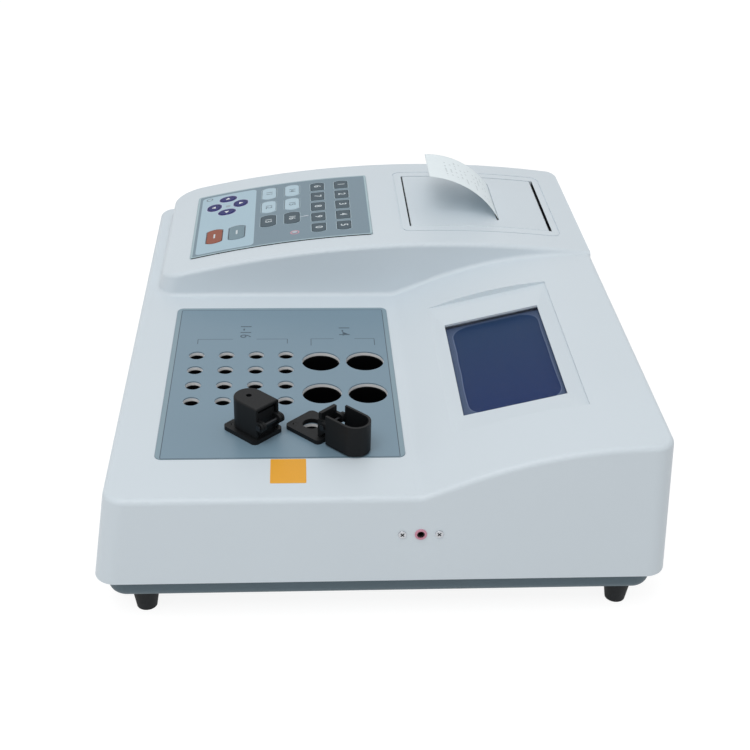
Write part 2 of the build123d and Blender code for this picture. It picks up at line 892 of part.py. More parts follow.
with BuildPart() as base_tray:
    with BuildSketch(Plane.XY.offset(foot_height)):
        RectangleRounded(2 * tray_x, tray_back - tray_front, tray_corner)
    extrude(amount=tray_height)
    fillet(faces().sort_by(Axis.Z)[0].edges(), tray_edge_fillet)
    add(drafted_block(case_wall + tray_lip_gap, rim_z - tray_flange, rim_z + tray_lip_rise))
    with BuildSketch(Plane.XY.offset(floor_z)):
        RectangleRounded(
            2 * (tray_x - tray_wall),
            tray_back - tray_front - 2 * tray_wall,
            tray_corner - tray_wall,
        )
    extrude(amount=tray_height + tray_lip_rise, mode=Mode.SUBTRACT)
    with BuildSketch(Plane.XY.offset(floor_z - tray_wall / 2)):
        with GridLocations(2 * case_boss_x, 2 * case_boss_y, 2, 2):
            Circle(case_boss_radius)
    extrude(amount=case_boss_top - floor_z + tray_wall / 2)
    with BuildSketch(Plane.XY.offset(floor_z - tray_wall / 2)):
        with Locations(*foot_places):
            Circle(foot_boss_radius)
    extrude(amount=foot_boss_rise + tray_wall / 2)
    with BuildSketch(Plane.XY.offset(floor_z - tray_wall / 2)):
        with Locations(*board_places, *supply_places):
            Circle(standoff_radius)
    extrude(amount=board_lift + tray_wall / 2)
    with BuildSketch(Plane.XY.offset(floor_z)):
        with Locations(*board_places, *supply_places):
            Circle(stake_radius)
    extrude(amount=board_lift + board_thickness + stake_rise)
    with BuildSketch(Plane.XY.offset(foot_height)):
        with GridLocations(2 * case_boss_x, 2 * case_boss_y, 2, 2):
            Circle(screw_head_radius + screw_play)
    extrude(amount=counterbore_depth, mode=Mode.SUBTRACT)
    with BuildSketch(Plane.XY.offset(foot_height)):
        with GridLocations(2 * case_boss_x, 2 * case_boss_y, 2, 2):
            Circle(screw_radius + screw_play)
    extrude(amount=case_boss_top, mode=Mode.SUBTRACT)
    with BuildSketch(Plane.XY.offset(foot_height)):
        with Locations(*foot_places):
            Circle(screw_radius + screw_play)
    extrude(amount=foot_screw_grip + overrun, mode=Mode.SUBTRACT)
    with BuildSketch(Plane.XY.offset(foot_height - overrun)):
        with Locations((supply_x, supply_y)):
            with GridLocations(0, vent_pitch, 1, vent_count):
                SlotOverall(vent_length, vent_width)
    extrude(amount=tray_wall + 2 * overrun, mode=Mode.SUBTRACT)

base_tray.part.label = "base_tray"
export_step(base_tray.part, "parts/base_tray.step")

with BuildPart() as rubber_feet:
    with BuildSketch(Plane.XY.offset(foot_height)):
        with Locations(*foot_places):
            Circle(foot_top_radius)
    extrude(amount=-foot_height, taper=degrees(atan((foot_top_radius - foot_tip_radius) / foot_height)))
    with BuildSketch(Plane.XY):
        with Locations(*foot_places):
            Circle(foot_recess_radius)
    extrude(amount=foot_recess_depth, mode=Mode.SUBTRACT)
    with BuildSketch(Plane.XY):
        with Locations(*foot_places):
            Circle(screw_radius + screw_play)
    extrude(amount=foot_height, mode=Mode.SUBTRACT)

rubber_feet.part.label = "rubber_feet"
export_step(rubber_feet.part, "parts/rubber_feet.step")

with BuildPart() as foot_screws:
    with BuildSketch(Plane.XY.offset(foot_recess_depth)):
        with Locations(*foot_places):
            Circle(screw_head_radius)
    extrude(amount=-screw_head_height)
    with BuildSketch(Plane.XY.offset(foot_recess_depth)):
        with Locations(*foot_places):
            Circle(screw_radius)
    extrude(amount=foot_height - foot_recess_depth + foot_screw_grip)
    with BuildSketch(Plane.XY.offset(foot_recess_depth - screw_head_height)):
        with Locations(*foot_places):
            RegularPolygon(screw_socket_radius, 6)
    extrude(amount=screw_socket_depth, mode=Mode.SUBTRACT)

foot_screws.part.label = "foot_screws"
export_step(foot_screws.part, "parts/foot_screws.step")

with BuildPart() as case_screws:
    head_z = foot_height + counterbore_depth
    with BuildSketch(Plane.XY.offset(head_z)):
        with GridLocations(2 * case_boss_x, 2 * case_boss_y, 2, 2):
            Circle(screw_head_radius)
    extrude(amount=-screw_head_height)
    with BuildSketch(Plane.XY.offset(head_z)):
        with GridLocations(2 * case_boss_x, 2 * case_boss_y, 2, 2):
            Circle(screw_radius)
    extrude(amount=case_boss_top + case_screw_grip - head_z)
    with BuildSketch(Plane.XY.offset(head_z - screw_head_height)):
        with GridLocations(2 * case_boss_x, 2 * case_boss_y, 2, 2):
            RegularPolygon(screw_socket_radius, 6)
    extrude(amount=screw_socket_depth, mode=Mode.SUBTRACT)

case_screws.part.label = "case_screws"
export_step(case_screws.part, "parts/case_screws.step")

with BuildPart() as deck_panel:
    with BuildSketch(Plane.XY.offset(sheet_top - sheet_thickness)):
        with Locations((sheet_x, sheet_y)):
            RectangleRounded(sheet_width, sheet_length, sheet_corner - sheet_play)
        with Locations((well_x, sample_y)):
            with GridLocations(sample_pitch, sample_pitch, sample_rows, sample_rows):
                Circle(sample_radius + sheet_hole_play, mode=Mode.SUBTRACT)
        with Locations((well_x, reagent_y)):
            with GridLocations(reagent_pitch_x, reagent_pitch_y, 2, 2):
                Circle(reagent_radius + sheet_hole_play, mode=Mode.SUBTRACT)
        with Locations(*channel_places):
            Circle(flange_bore + sheet_hole_play, mode=Mode.SUBTRACT)
        with Locations(*channel_screw_places):
            Circle(small_screw_radius + screw_play, mode=Mode.SUBTRACT)
    extrude(amount=sheet_thickness)

deck_panel.part.label = "deck_panel"
export_step(deck_panel.part, "parts/deck_panel.step")

with BuildPart() as incubator_block:
    with BuildSketch(Plane.XY.offset(block_top)):
        with Locations((well_x, incubator_y)):
            Rectangle(2 * incubator_reach, incubator_length)
    extrude(amount=-incubator_height)
    chamfer(edges().filter_by(Axis.Z), incubator_edge)
    with BuildSketch(Plane.XY.offset(block_top)):
        with Locations((well_x, sample_y)):
            with GridLocations(sample_pitch, sample_pitch, sample_rows, sample_rows):
                Circle(sample_radius - block_bore_step)
    extrude(amount=-sample_depth, mode=Mode.SUBTRACT)
    with BuildSketch(Plane.XY.offset(block_top)):
        with Locations((well_x, reagent_y)):
            with GridLocations(reagent_pitch_x, reagent_pitch_y, 2, 2):
                Circle(reagent_radius - block_bore_step)
    extrude(amount=-reagent_depth, mode=Mode.SUBTRACT)

incubator_block.part.label = "incubator_block"
export_step(incubator_block.part, "parts/incubator_block.step")

with BuildPart() as heater_mat:
    with BuildSketch(Plane.XY.offset(block_top - incubator_height - print_gap)):
        with Locations((well_x, incubator_y)):
            Rectangle(2 * (incubator_reach - heater_margin), incubator_length - 2 * heater_margin)
    extrude(amount=-heater_thickness)

heater_mat.part.label = "heater_mat"
export_step(heater_mat.part, "parts/heater_mat.step")

with BuildPart() as optics_block:
    with BuildSketch(Plane.XY.offset(block_top)):
        with Locations((channel_x, channel_y)):
            Rectangle(optics_width, optics_length)
    extrude(amount=-optics_height)
    chamfer(edges().filter_by(Axis.Z), incubator_edge)
    with BuildSketch(Plane.XY.offset(block_top)):
        with Locations(*channel_places):
            Circle(cuvette_radius)
    extrude(amount=-cuvette_depth, mode=Mode.SUBTRACT)
    for place in channel_places:
        beam_plane = Plane(origin=(channel_x, place[1], beam_z), x_dir=(0, 1, 0), z_dir=(1, 0, 0))
        with BuildSketch(beam_plane):
            Circle(beam_radius)
        extrude(amount=optics_width / 2, both=True, mode=Mode.SUBTRACT)
        for sign in (-1, 1):
            with BuildSketch(beam_plane.offset(sign * optics_width / 2)):
                Circle(lamp_radius + lamp_play)
            extrude(amount=-sign * lamp_length, mode=Mode.SUBTRACT)

optics_block.part.label = "optics_block"
export_step(optics_block.part, "parts/optics_block.step")

for sign, name in ((1, "measuring_leds"), (-1, "photodiodes")):
    with BuildPart() as beam_parts:
        for place in channel_places:
            lamp_x = channel_x + sign * (optics_width / 2 + print_gap)
            lamp_plane = Plane(origin=(lamp_x, place[1], beam_z), x_dir=(0, 1, 0), z_dir=(sign, 0, 0))
            with BuildSketch(lamp_plane):
                Circle(lamp_flange_radius)
            extrude(amount=lamp_flange)
            with BuildSketch(lamp_plane):
                Circle(lamp_radius)
            extrude(amount=-lamp_length + lamp_flange)
    beam_parts.part.label = name
    export_step(beam_parts.part, f"parts/{name}.step")

with BuildPart() as block_posts:
    with BuildSketch(Plane.XY.offset(floor_z)):
        with Locations((well_x, incubator_y)):
            with GridLocations(2 * (incubator_reach - post_inset), incubator_length - 2 * post_inset, 2, 2):
                Circle(post_radius)
    extrude(amount=block_top - incubator_height - floor_z)
    with BuildSketch(Plane.XY.offset(floor_z)):
        with Locations((channel_x, channel_y)):
            with GridLocations(optics_width - 2 * post_inset, optics_length - 2 * post_inset, 2, 2):
                Circle(post_radius)
    extrude(amount=block_top - optics_height - floor_z)

block_posts.part.label = "block_posts"
export_step(block_posts.part, "parts/block_posts.step")


def hinge_side(plane):
    """Plane through a channel's middle that stands on its flange, along the way to the hinge."""
    return Plane(origin=plane.origin, x_dir=plane.x_dir, z_dir=-plane.y_dir)


for number, plane in enumerate(channel_planes, 1):
    with BuildPart() as channel_base:
        with BuildSketch(plane):
            with Locations(((flange_back - flange_front) / 2, 0)):
                RectangleRounded(flange_front + flange_back, 2 * flange_half, flange_corner)
            Circle(flange_bore, mode=Mode.SUBTRACT)
            with Locations(*flange_screw_spots):
                Circle(small_screw_radius + screw_play, mode=Mode.SUBTRACT)
        extrude(amount=flange_thickness)
        with BuildSketch(plane.offset(flange_thickness)):
            with Locations(*flange_screw_spots):
                Circle(small_screw_head + screw_play)
        extrude(amount=-small_screw_sink, mode=Mode.SUBTRACT)
        with BuildSketch(plane.offset(flange_thickness)):
            with Locations((back_wall_from + back_wall_thickness / 2, 0)):
                Rectangle(back_wall_thickness, 2 * back_wall_half)
        extrude(amount=back_wall_height)
        for sign in (-1, 1):
            with BuildSketch(hinge_side(plane).offset(sign * (ear_half - hinge_ear_thickness / 2))):
                with BuildLine():
                    Polyline(
                        (back_wall_from, flange_thickness),
                        (flange_back - flange_corner, flange_thickness),
                        (hinge_reach + hinge_ear_radius, hinge_height),
                        (hinge_reach, hinge_height + hinge_ear_radius),
                        (back_wall_from, hinge_height + hinge_ear_radius),
                        close=True,
                    )
                make_face()
                with Locations((hinge_reach, hinge_height)):
                    Circle(hinge_ear_radius)
                    Circle(hinge_pin_radius + print_gap, mode=Mode.SUBTRACT)
            extrude(amount=hinge_ear_thickness / 2, both=True)
    channel_base.part.label = f"channel_base_{number}"
    export_step(channel_base.part, f"parts/channel_base_{number}.step")

    with BuildPart() as hinge_pin:
        head_at = cap_radius + hinge_side_play
        with BuildSketch(hinge_side(plane)):
            with Locations((hinge_reach, hinge_height)):
                Circle(hinge_pin_radius)
        extrude(amount=head_at, both=True)
        for sign in (-1, 1):
            with BuildSketch(hinge_side(plane).offset(sign * head_at)):
                with Locations((hinge_reach, hinge_height)):
                    Circle(pin_head_radius)
            extrude(amount=sign * pin_head)
    hinge_pin.part.label = f"hinge_pin_{number}"
    export_step(hinge_pin.part, f"parts/hinge_pin_{number}.step")

for number, plane in enumerate((channel_planes[0], open_plane), 1):
    with BuildPart() as channel_cap:
        with BuildSketch(plane.offset(flange_thickness + cap_lift)):
            Circle(cap_radius)
            with Locations((cap_reach / 2, 0)):
                Rectangle(cap_reach, 2 * cap_radius)
        extrude(amount=cap_height)
        fillet(faces().sort_by(Axis((0, 0, 0), plane.z_dir))[-1].edges(), cap_edge_fillet)
        with BuildSketch(plane.offset(flange_thickness + cap_lift)):
            Circle(cap_radius - cap_wall)
            with Locations(((cap_reach + overrun) / 2, 0)):
                Rectangle(cap_reach + overrun, 2 * (cap_radius - cap_wall))
        extrude(amount=cap_height - cap_roof, mode=Mode.SUBTRACT)
        with BuildSketch(plane.offset(flange_thickness)):
            Circle(cap_hole_radius)
        extrude(amount=cap_height + overrun, mode=Mode.SUBTRACT)
        for sign in (-1, 1):
            with BuildSketch(hinge_side(plane).offset(sign * (cap_radius - cap_wall / 2))):
                with Locations(((cap_reach + hinge_reach) / 2 - cap_wall / 2, hinge_height)):
                    Rectangle(hinge_reach - cap_reach + cap_wall, 2 * hinge_ear_radius)
                with Locations((hinge_reach, hinge_height)):
                    Circle(hinge_ear_radius)
                    Circle(hinge_pin_radius + hinge_play, mode=Mode.SUBTRACT)
            extrude(amount=cap_wall / 2, both=True)
    channel_cap.part.label = f"channel_cap_{number}"
    export_step(channel_cap.part, f"parts/channel_cap_{number}.step")

with BuildPart() as channel_screws:
    screw_top = sheet_top + flange_thickness - print_gap
    with BuildSketch(Plane.XY.offset(screw_top)):
        with Locations(*channel_screw_places):
            Circle(small_screw_head)
            Rectangle(small_screw_head, small_screw_radius / 2, mode=Mode.SUBTRACT)
    extrude(amount=print_gap - small_screw_sink)
    with BuildSketch(Plane.XY.offset(screw_top - small_screw_sink / 2)):
        with Locations(*channel_screw_places):
            Circle(small_screw_radius)
    extrude(amount=-small_screw_sink / 2 - small_screw_length)

channel_screws.part.label = "channel_screws"
export_step(channel_screws.part, "parts/channel_screws.step")

with BuildPart() as keypad_circuit:
    add(
        hump_sheet(
            circuit_thickness - pad_recess + print_gap,
            pad_recess - print_gap,
            pad_width,
            pad_length,
            (pad_x, pad_y),
            pad_corner,
        )
    )

keypad_circuit.part.label = "keypad_circuit"
export_step(keypad_circuit.part, "parts/keypad_circuit.step")

with BuildPart() as keypad_overlay:
    overlay_drop = pad_recess - circuit_thickness - 2 * print_gap
    add(hump_sheet(pad_proud, overlay_drop, pad_width, pad_length, (pad_x, pad_y), pad_corner))
    for key in keys.values():
        add(key_body(key, key_play, -pad_recess, pad_proud + overrun), mode=Mode.SUBTRACT)

keypad_overlay.part.label = "keypad_overlay"
export_step(keypad_overlay.part, "parts/keypad_overlay.step")

for name, key in keys.items():
    with BuildPart() as key_cap:
        add(key_body(key, 0, -key_sink, key_proud))
        outward = hump_plane(key[0], key[1]).z_dir
        chamfer(faces().sort_by(Axis((0, 0, 0), outward))[-1].edges(), key_edge)
    key_cap.part.label = name
    export_step(key_cap.part, f"parts/{name}.step")

with BuildPart() as lcd_window:
    with BuildSketch(lcd_plane.offset(-lcd_seat_drop - print_gap)):
        RectangleRounded(lcd_window_width, lcd_window_length, lcd_window_overlap / 2)
    extrude(amount=-lcd_window_thickness)

lcd_window.part.label = "lcd_window"
export_step(lcd_window.part, "parts/lcd_window.step")

with BuildPart() as lcd_module:
    with BuildSketch(lcd_plane.offset(-lcd_pad_drop - seat_gap)):
        Rectangle(lcd_view_width + 2 * lcd_module_overlap, lcd_view_length + 2 * lcd_module_overlap)
    extrude(amount=-lcd_module_depth)
    chamfer(edges().filter_by(Axis((0, 0, 0), lcd_plane.z_dir)), lcd_bezel_wall)
    with BuildSketch(lcd_plane.offset(-lcd_pad_drop - seat_gap)):
        Rectangle(lcd_view_width + lcd_module_overlap, lcd_view_length + lcd_module_overlap)
    extrude(amount=-lcd_glass_drop, mode=Mode.SUBTRACT)

lcd_module.part.label = "lcd_module"
export_step(lcd_module.part, "parts/lcd_module.step")

with BuildPart() as lcd_board:
    with BuildSketch(lcd_plane.offset(-lcd_board_drop)):
        Rectangle(lcd_board_width, lcd_board_length)
    extrude(amount=-board_thickness)
    with BuildSketch(lcd_plane.offset(-lcd_board_drop - board_thickness)):
        with GridLocations(2 * lcd_chip_size, 2 * lcd_chip_size, 3, 2):
            Rectangle(lcd_chip_size, lcd_chip_size)
    extrude(amount=-chip_height)

lcd_board.part.label = "lcd_board"
export_step(lcd_board.part, "parts/lcd_board.step")

with BuildPart() as printer_lid:
    add(hump_sheet(0, lid_thickness, lid_width, lid_length, (lid_x, lid_y), lid_corner))
    back_top = edges().filter_by(Axis.X).group_by(Axis.Y)[-1].sort_by(Axis.Z)[-1]
    fillet(back_top, lid_back_round)
    with BuildSketch(Plane.XY.offset(deck_z)):
        with Locations((lid_x, slot_y)):
            RectangleRounded(slot_length, slot_width, slot_corner)
    extrude(amount=2 * hump_rise, mode=Mode.SUBTRACT)
    with BuildSketch(lid_axis_plane):
        Circle(barrel_radius)
    extrude(amount=lid_width / 2, both=True)
    with BuildSketch(lid_axis_plane):
        Circle(lid_pin_radius)
    extrude(amount=lid_width / 2 + lid_pin_length, both=True)

printer_lid.part.label = "printer_lid"
export_step(printer_lid.part, "parts/printer_lid.step")


with BuildPart() as paper_strip:
    strip_edges = (
        (-strip_width / 2, strip_far_lean, strip_far_radius),
        (strip_width / 2, strip_near_lean, strip_near_radius),
    )
    for shift, lean, radius in strip_edges:
        start = (slot_y, hump_z(slot_y) - strip_root_drop)
        ahead = (-cos(radians(lean)), sin(radians(lean)))
        above = (start[0] + ahead[1] * strip_thickness, start[1] - ahead[0] * strip_thickness)
        with BuildSketch(Plane.YZ.offset(lid_x + shift)):
            with BuildLine():
                lower = JernArc(start, ahead, radius, strip_sweep)
                upper = JernArc(above, ahead, radius + strip_thickness, strip_sweep)
                Line(lower @ 0, upper @ 0)
                Line(lower @ 1, upper @ 1)
            make_face()
    loft(ruled=True)

paper_strip.part.label = "paper_strip"
export_step(paper_strip.part, "parts/paper_strip.step")

with BuildPart() as printer_chassis:
    with BuildSketch(Plane.XY.offset(chassis_floor - chassis_wall)):
        with Locations((lid_x, chassis_y)):
            Rectangle(bay_width + 2 * chassis_margin, chassis_back - chassis_front)
    extrude(amount=top_z - chassis_floor)
    with BuildSketch(Plane.XY.offset(chassis_floor)):
        with Locations((lid_x, chassis_y)):
            Rectangle(2 * bay_inner, chassis_back - chassis_front - 2 * chassis_wall)
    extrude(amount=top_z, mode=Mode.SUBTRACT)
    with BuildSketch(Plane.XY.offset(chassis_floor)):
        with Locations((lid_x, head_front + head_depth + print_gap + head_wall / 2)):
            Rectangle(2 * bay_inner, head_wall)
    extrude(amount=top_z - chassis_floor)
    with BuildSketch(Plane.YZ):
        with Locations(hump_centre):
            Circle(hump_radius - bay_drop - print_gap)
    extrude(amount=reach, both=True, mode=Mode.INTERSECT)
    for sign in (-1, 1):
        with BuildSketch(roll_plane.offset(sign * bay_inner)):
            Circle(roll_core_radius - roll_play)
        extrude(amount=-sign * (bay_inner - roll_width / 2 + roll_core_radius))
    with BuildSketch(platen_plane):
        Circle(platen_shaft_radius + bearing_play)
    extrude(amount=bay_width, both=True, mode=Mode.SUBTRACT)

printer_chassis.part.label = "printer_chassis"
export_step(printer_chassis.part, "parts/printer_chassis.step")

with BuildPart() as print_head:
    with BuildSketch(Plane.XY.offset(platen_z - head_height / 2)):
        with Locations((lid_x, head_front + head_depth / 2)):
            Rectangle(head_length, head_depth)
    extrude(amount=head_height)
    chamfer(edges().filter_by(Axis.X).group_by(Axis.Y)[0], head_chamfer)

print_head.part.label = "print_head"
export_step(print_head.part, "parts/print_head.step")

with BuildPart() as platen_roller:
    with BuildSketch(platen_plane):
        Circle(platen_radius)
    extrude(amount=platen_length / 2, both=True)
    with BuildSketch(platen_plane):
        Circle(platen_shaft_radius)
    extrude(amount=bay_inner + chassis_wall, both=True)
    with BuildSketch(platen_plane.offset(head_length / 2 + paper_gap)):
        Circle(platen_gear_radius - platen_gear_tooth)
        with PolarLocations(platen_gear_radius - platen_gear_tooth, platen_gear_teeth):
            Rectangle(2 * platen_gear_tooth, platen_gear_tooth)
    extrude(amount=platen_gear_width)

platen_roller.part.label = "platen_roller"
export_step(platen_roller.part, "parts/platen_roller.step")

with BuildPart() as paper_roll:
    with BuildSketch(roll_plane):
        Circle(roll_radius)
        Circle(roll_core_radius, mode=Mode.SUBTRACT)
    extrude(amount=roll_width / 2, both=True)

paper_roll.part.label = "paper_roll"
export_step(paper_roll.part, "parts/paper_roll.step")

with BuildPart() as jack_ring:
    with BuildSketch(jack_plane):
        Circle(jack_ring_radius)
    extrude(amount=jack_ring_proud)
    fillet(edges().sort_by(Axis.X)[-1], jack_ring_proud / 2)
    with BuildSketch(jack_plane):
        Circle(jack_barrel_radius)
    extrude(amount=-case_wall)
    with BuildSketch(jack_plane.offset(overrun)):
        Circle(jack_socket_radius + print_gap)
    extrude(amount=-case_wall - 2 * overrun, mode=Mode.SUBTRACT)

jack_ring.part.label = "jack_ring"
export_step(jack_ring.part, "parts/jack_ring.step")

with BuildPart() as jack_socket:
    with BuildSketch(jack_plane):
        Circle(jack_socket_radius)
    extrude(amount=-jack_socket_length)
    with BuildSketch(jack_plane.offset(-case_wall - seat_gap)):
        RegularPolygon(jack_nut_radius, 6)
    extrude(amount=-jack_nut_thickness)
    with BuildSketch(jack_plane):
        Circle(jack_bore_radius)
    extrude(amount=jack_nut_thickness - jack_socket_length, mode=Mode.SUBTRACT)

jack_socket.part.label = "jack_socket"
export_step(jack_socket.part, "parts/jack_socket.step")

with BuildPart() as jack_screws:
    with BuildSketch(jack_plane.offset(print_gap)):
        with GridLocations(jack_screw_spacing, 0, 2, 1):
            Circle(jack_screw_head_radius)
    extrude(amount=jack_screw_dome)
    fillet(edges().group_by(Axis((0, 0, 0), jack_plane.z_dir))[-1], jack_screw_dome / 2)
    with BuildSketch(jack_plane.offset(print_gap)):
        with GridLocations(jack_screw_spacing, 0, 2, 1):
            Circle(jack_screw_radius)
    extrude(amount=-jack_screw_length)

jack_screws.part.label = "jack_screws"
export_step(jack_screws.part, "parts/jack_screws.step")

with BuildPart() as main_board:
    with BuildSketch(Plane.XY.offset(board_z)):
        with Locations((board_x, board_y)):
            Rectangle(main_board_width, main_board_length)
        with Locations(*board_places):
            Circle(stake_radius + screw_play, mode=Mode.SUBTRACT)
    extrude(amount=board_thickness)
    with BuildSketch(Plane.XY.offset(board_z + board_thickness)):
        with Locations((board_x, board_y)):
            with GridLocations(*chip_pitch, 3, 2):
                Rectangle(chip_size, chip_size)
    extrude(amount=chip_height)
    with BuildSketch(Plane.XY.offset(board_z + board_thickness)):
        with Locations((board_x, board_y + main_board_length / 2 - relay_size[1])):
            with GridLocations(relay_pitch, 0, 4, 1):
                Rectangle(relay_size[0], relay_size[1])
    extrude(amount=relay_size[2])

main_board.part.label = "main_board"
export_step(main_board.part, "parts/main_board.step")

with BuildPart() as power_supply:
    with BuildSketch(Plane.XY.offset(board_z)):
        with Locations((supply_x, supply_y)):
            Rectangle(supply_width, supply_length)
        with Locations(*supply_places):
            Circle(stake_radius + screw_play, mode=Mode.SUBTRACT)
    extrude(amount=board_thickness)
    with BuildSketch(Plane.XY.offset(board_z + board_thickness)):
        with Locations((supply_x, supply_y)):
            Rectangle(transformer_size[0], transformer_size[1])
    extrude(amount=transformer_size[2])
    with BuildSketch(Plane.XY.offset(board_z + board_thickness)):
        with Locations((supply_x + supply_width / 2 - heat_sink_inset, supply_y)):
            Rectangle(heat_sink_size[0], heat_sink_size[1])
    extrude(amount=heat_sink_size[2])
    with BuildSketch(Plane.XY.offset(board_z + board_thickness)):
        with Locations((supply_x - supply_width / 2 + 2 * capacitor_radius, supply_y)):
            with GridLocations(0, capacitor_pitch, 1, 2):
                Circle(capacitor_radius)
    extrude(amount=capacitor_height)

power_supply.part.label = "power_supply"
export_step(power_supply.part, "parts/power_supply.step")

rocker_pivot = inlet_plane.offset(inlet_flange - rocker_face_drop - rocker_pivot_drop)
rocker_plane = Plane(
    origin=rocker_pivot.from_local_coords((-rocker_shift, 0, 0)),
    x_dir=inlet_plane.y_dir,
    z_dir=inlet_plane.x_dir,
)

with BuildPart() as power_inlet:
    with BuildSketch(inlet_plane.offset(print_gap)):
        RectangleRounded(
            inlet_width + 2 * inlet_flange_margin,
            inlet_height + 2 * inlet_flange_margin,
            inlet_corner,
        )
    extrude(amount=inlet_flange)
    with BuildSketch(inlet_plane.offset(print_gap)):
        Rectangle(inlet_width, inlet_height)
    extrude(amount=-inlet_depth)
    with BuildSketch(inlet_plane.offset(inlet_flange + overrun)):
        with Locations((socket_shift, 0)):
            RectangleRounded(socket_width, socket_height, socket_corner)
    extrude(amount=-overrun - socket_depth, mode=Mode.SUBTRACT)
    with BuildSketch(inlet_plane.offset(inlet_flange - socket_depth - overrun)):
        with Locations((socket_shift, 0)):
            with GridLocations(2 * inlet_pin_spacing, 0, 2, 1):
                Rectangle(inlet_pin_width, inlet_pin_height)
        with Locations((socket_shift, inlet_pin_rise)):
            Rectangle(inlet_pin_width, inlet_pin_height)
    extrude(amount=inlet_pin_length + overrun)
    with BuildSketch(inlet_plane.offset(inlet_flange + overrun)):
        with Locations((-rocker_shift, 0)):
            Rectangle(rocker_width + 2 * rocker_play, rocker_height + 2 * rocker_play)
    extrude(amount=-overrun - rocker_well_depth, mode=Mode.SUBTRACT)
    with BuildSketch(rocker_plane):
        Circle(rocker_pin_radius + hinge_play)
    extrude(amount=rocker_width / 2 + rocker_pin_length + rocker_play, both=True, mode=Mode.SUBTRACT)

power_inlet.part.label = "power_inlet"
export_step(power_inlet.part, "parts/power_inlet.step")

with BuildPart() as power_switch:
    half_face = rocker_height / 2
    face_rise = half_face * tan(radians(rocker_tilt))
    with BuildSketch(turned(rocker_plane, rocker_tilt)):
        with BuildLine():
            Polyline(
                (-half_face, rocker_pivot_drop + face_rise),
                (0, rocker_pivot_drop),
                (half_face, rocker_pivot_drop + face_rise),
                (half_face, -rocker_sink),
                (-half_face, -rocker_sink),
                close=True,
            )
        make_face()
        Circle(half_face, mode=Mode.INTERSECT)
    extrude(amount=rocker_width / 2, both=True)
    with BuildSketch(rocker_plane):
        Circle(rocker_pin_radius)
    extrude(amount=rocker_width / 2 + rocker_pin_length, both=True)

power_switch.part.label = "power_switch"
export_step(power_switch.part, "parts/power_switch.step")

with BuildPart() as serial_port:
    behind = -case_wall - seat_gap
    with BuildSketch(port_plane.offset(behind)):
        Rectangle(port_width, port_height)
    extrude(amount=-port_plate)
    with BuildSketch(port_plane.offset(behind)):
        RectangleRounded(
            port_shell_width + 2 * port_plate,
            port_shell_height + 2 * port_plate,
            port_shell_corner,
        )
    extrude(amount=-port_depth)
    with BuildSketch(port_plane.offset(behind)):
        RectangleRounded(port_shell_width, port_shell_height, port_shell_corner)
        RectangleRounded(
            port_shell_width - 2 * port_shell_wall,
            port_shell_height - 2 * port_shell_wall,
            port_shell_corner - port_shell_wall,
            mode=Mode.SUBTRACT,
        )
    extrude(amount=port_shell_proud - behind)
    with BuildSketch(port_plane.offset(behind)):
        with Locations((0, port_pin_pitch / 2)):
            with GridLocations(port_pin_pitch, 0, port_pins, 1):
                Circle(port_pin_radius)
        with Locations((0, -port_pin_pitch / 2)):
            with GridLocations(port_pin_pitch, 0, port_pins - 1, 1):
                Circle(port_pin_radius)
    extrude(amount=-behind - port_shell_proud)
    with BuildSketch(port_plane.offset(behind)):
        with GridLocations(port_screw_spacing, 0, 2, 1):
            RegularPolygon(port_screw_radius, 6)
    extrude(amount=port_shell_proud - behind)

serial_port.part.label = "serial_port"
export_step(serial_port.part, "parts/serial_port.step")
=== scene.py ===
"""Looks of a bench-top coagulation analyzer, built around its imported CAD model.

Each CAD node keeps its place. A merged copy of it carries smooth shading and its finish, and the printed
films, legends, display face, indicator lenses, label and paper are added on top. Lengths are in metres.
"""

import json
import logging
import math
from collections.abc import Callable, Iterator, Sequence
from contextlib import contextmanager
from dataclasses import dataclass, field
from enum import Enum
from functools import cache
from typing import Any

import bmesh
import bpy
from mathutils import Matrix, Vector


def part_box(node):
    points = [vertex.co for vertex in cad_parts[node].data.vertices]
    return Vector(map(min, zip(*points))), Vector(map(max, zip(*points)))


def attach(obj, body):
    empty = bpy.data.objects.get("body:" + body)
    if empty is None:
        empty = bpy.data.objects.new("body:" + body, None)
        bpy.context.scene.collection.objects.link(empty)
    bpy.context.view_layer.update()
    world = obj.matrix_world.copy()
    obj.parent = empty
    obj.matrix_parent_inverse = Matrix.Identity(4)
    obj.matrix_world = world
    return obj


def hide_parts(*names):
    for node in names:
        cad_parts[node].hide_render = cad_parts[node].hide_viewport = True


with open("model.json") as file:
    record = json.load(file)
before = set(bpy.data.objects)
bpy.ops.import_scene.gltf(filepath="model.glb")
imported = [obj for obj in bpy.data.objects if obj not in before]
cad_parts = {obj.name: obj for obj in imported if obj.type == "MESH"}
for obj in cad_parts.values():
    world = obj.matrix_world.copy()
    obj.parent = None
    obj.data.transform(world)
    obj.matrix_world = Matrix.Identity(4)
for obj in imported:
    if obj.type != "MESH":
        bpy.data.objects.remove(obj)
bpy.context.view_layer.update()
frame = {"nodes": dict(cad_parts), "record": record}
log = logging.getLogger("analyzer")

MM = 0.001
MERGE_DISTANCE = 0.000002
SMOOTH_ANGLE = 32.0
NORMAL_WEIGHT = 60
PRINT_SOFTNESS = 0.00012
INK_HEIGHT = 0.00004
CORNER_FACES = 5
TEXT_STEPS = 4
# How much of a face's normal lies along a direction that it counts as facing, and as square to.
FACING = 0.9
SQUARE_ON = 0.99

Colour = tuple[int, int, int]
Pair = tuple[float, float]
Triple = tuple[float, float, float]
Piece = bpy.types.Object
Owner = bpy.types.Material | bpy.types.World
FaceTest = Callable[[Vector, Vector], bool]

BODY_OF = {
    node: body for body, nodes in frame["record"]["behaviour"]["bodies"].items() for node in nodes
}


@cache
def box(node: str) -> tuple[Vector, Vector]:
    """Low and high corner of a CAD node, measured once."""
    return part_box(node)


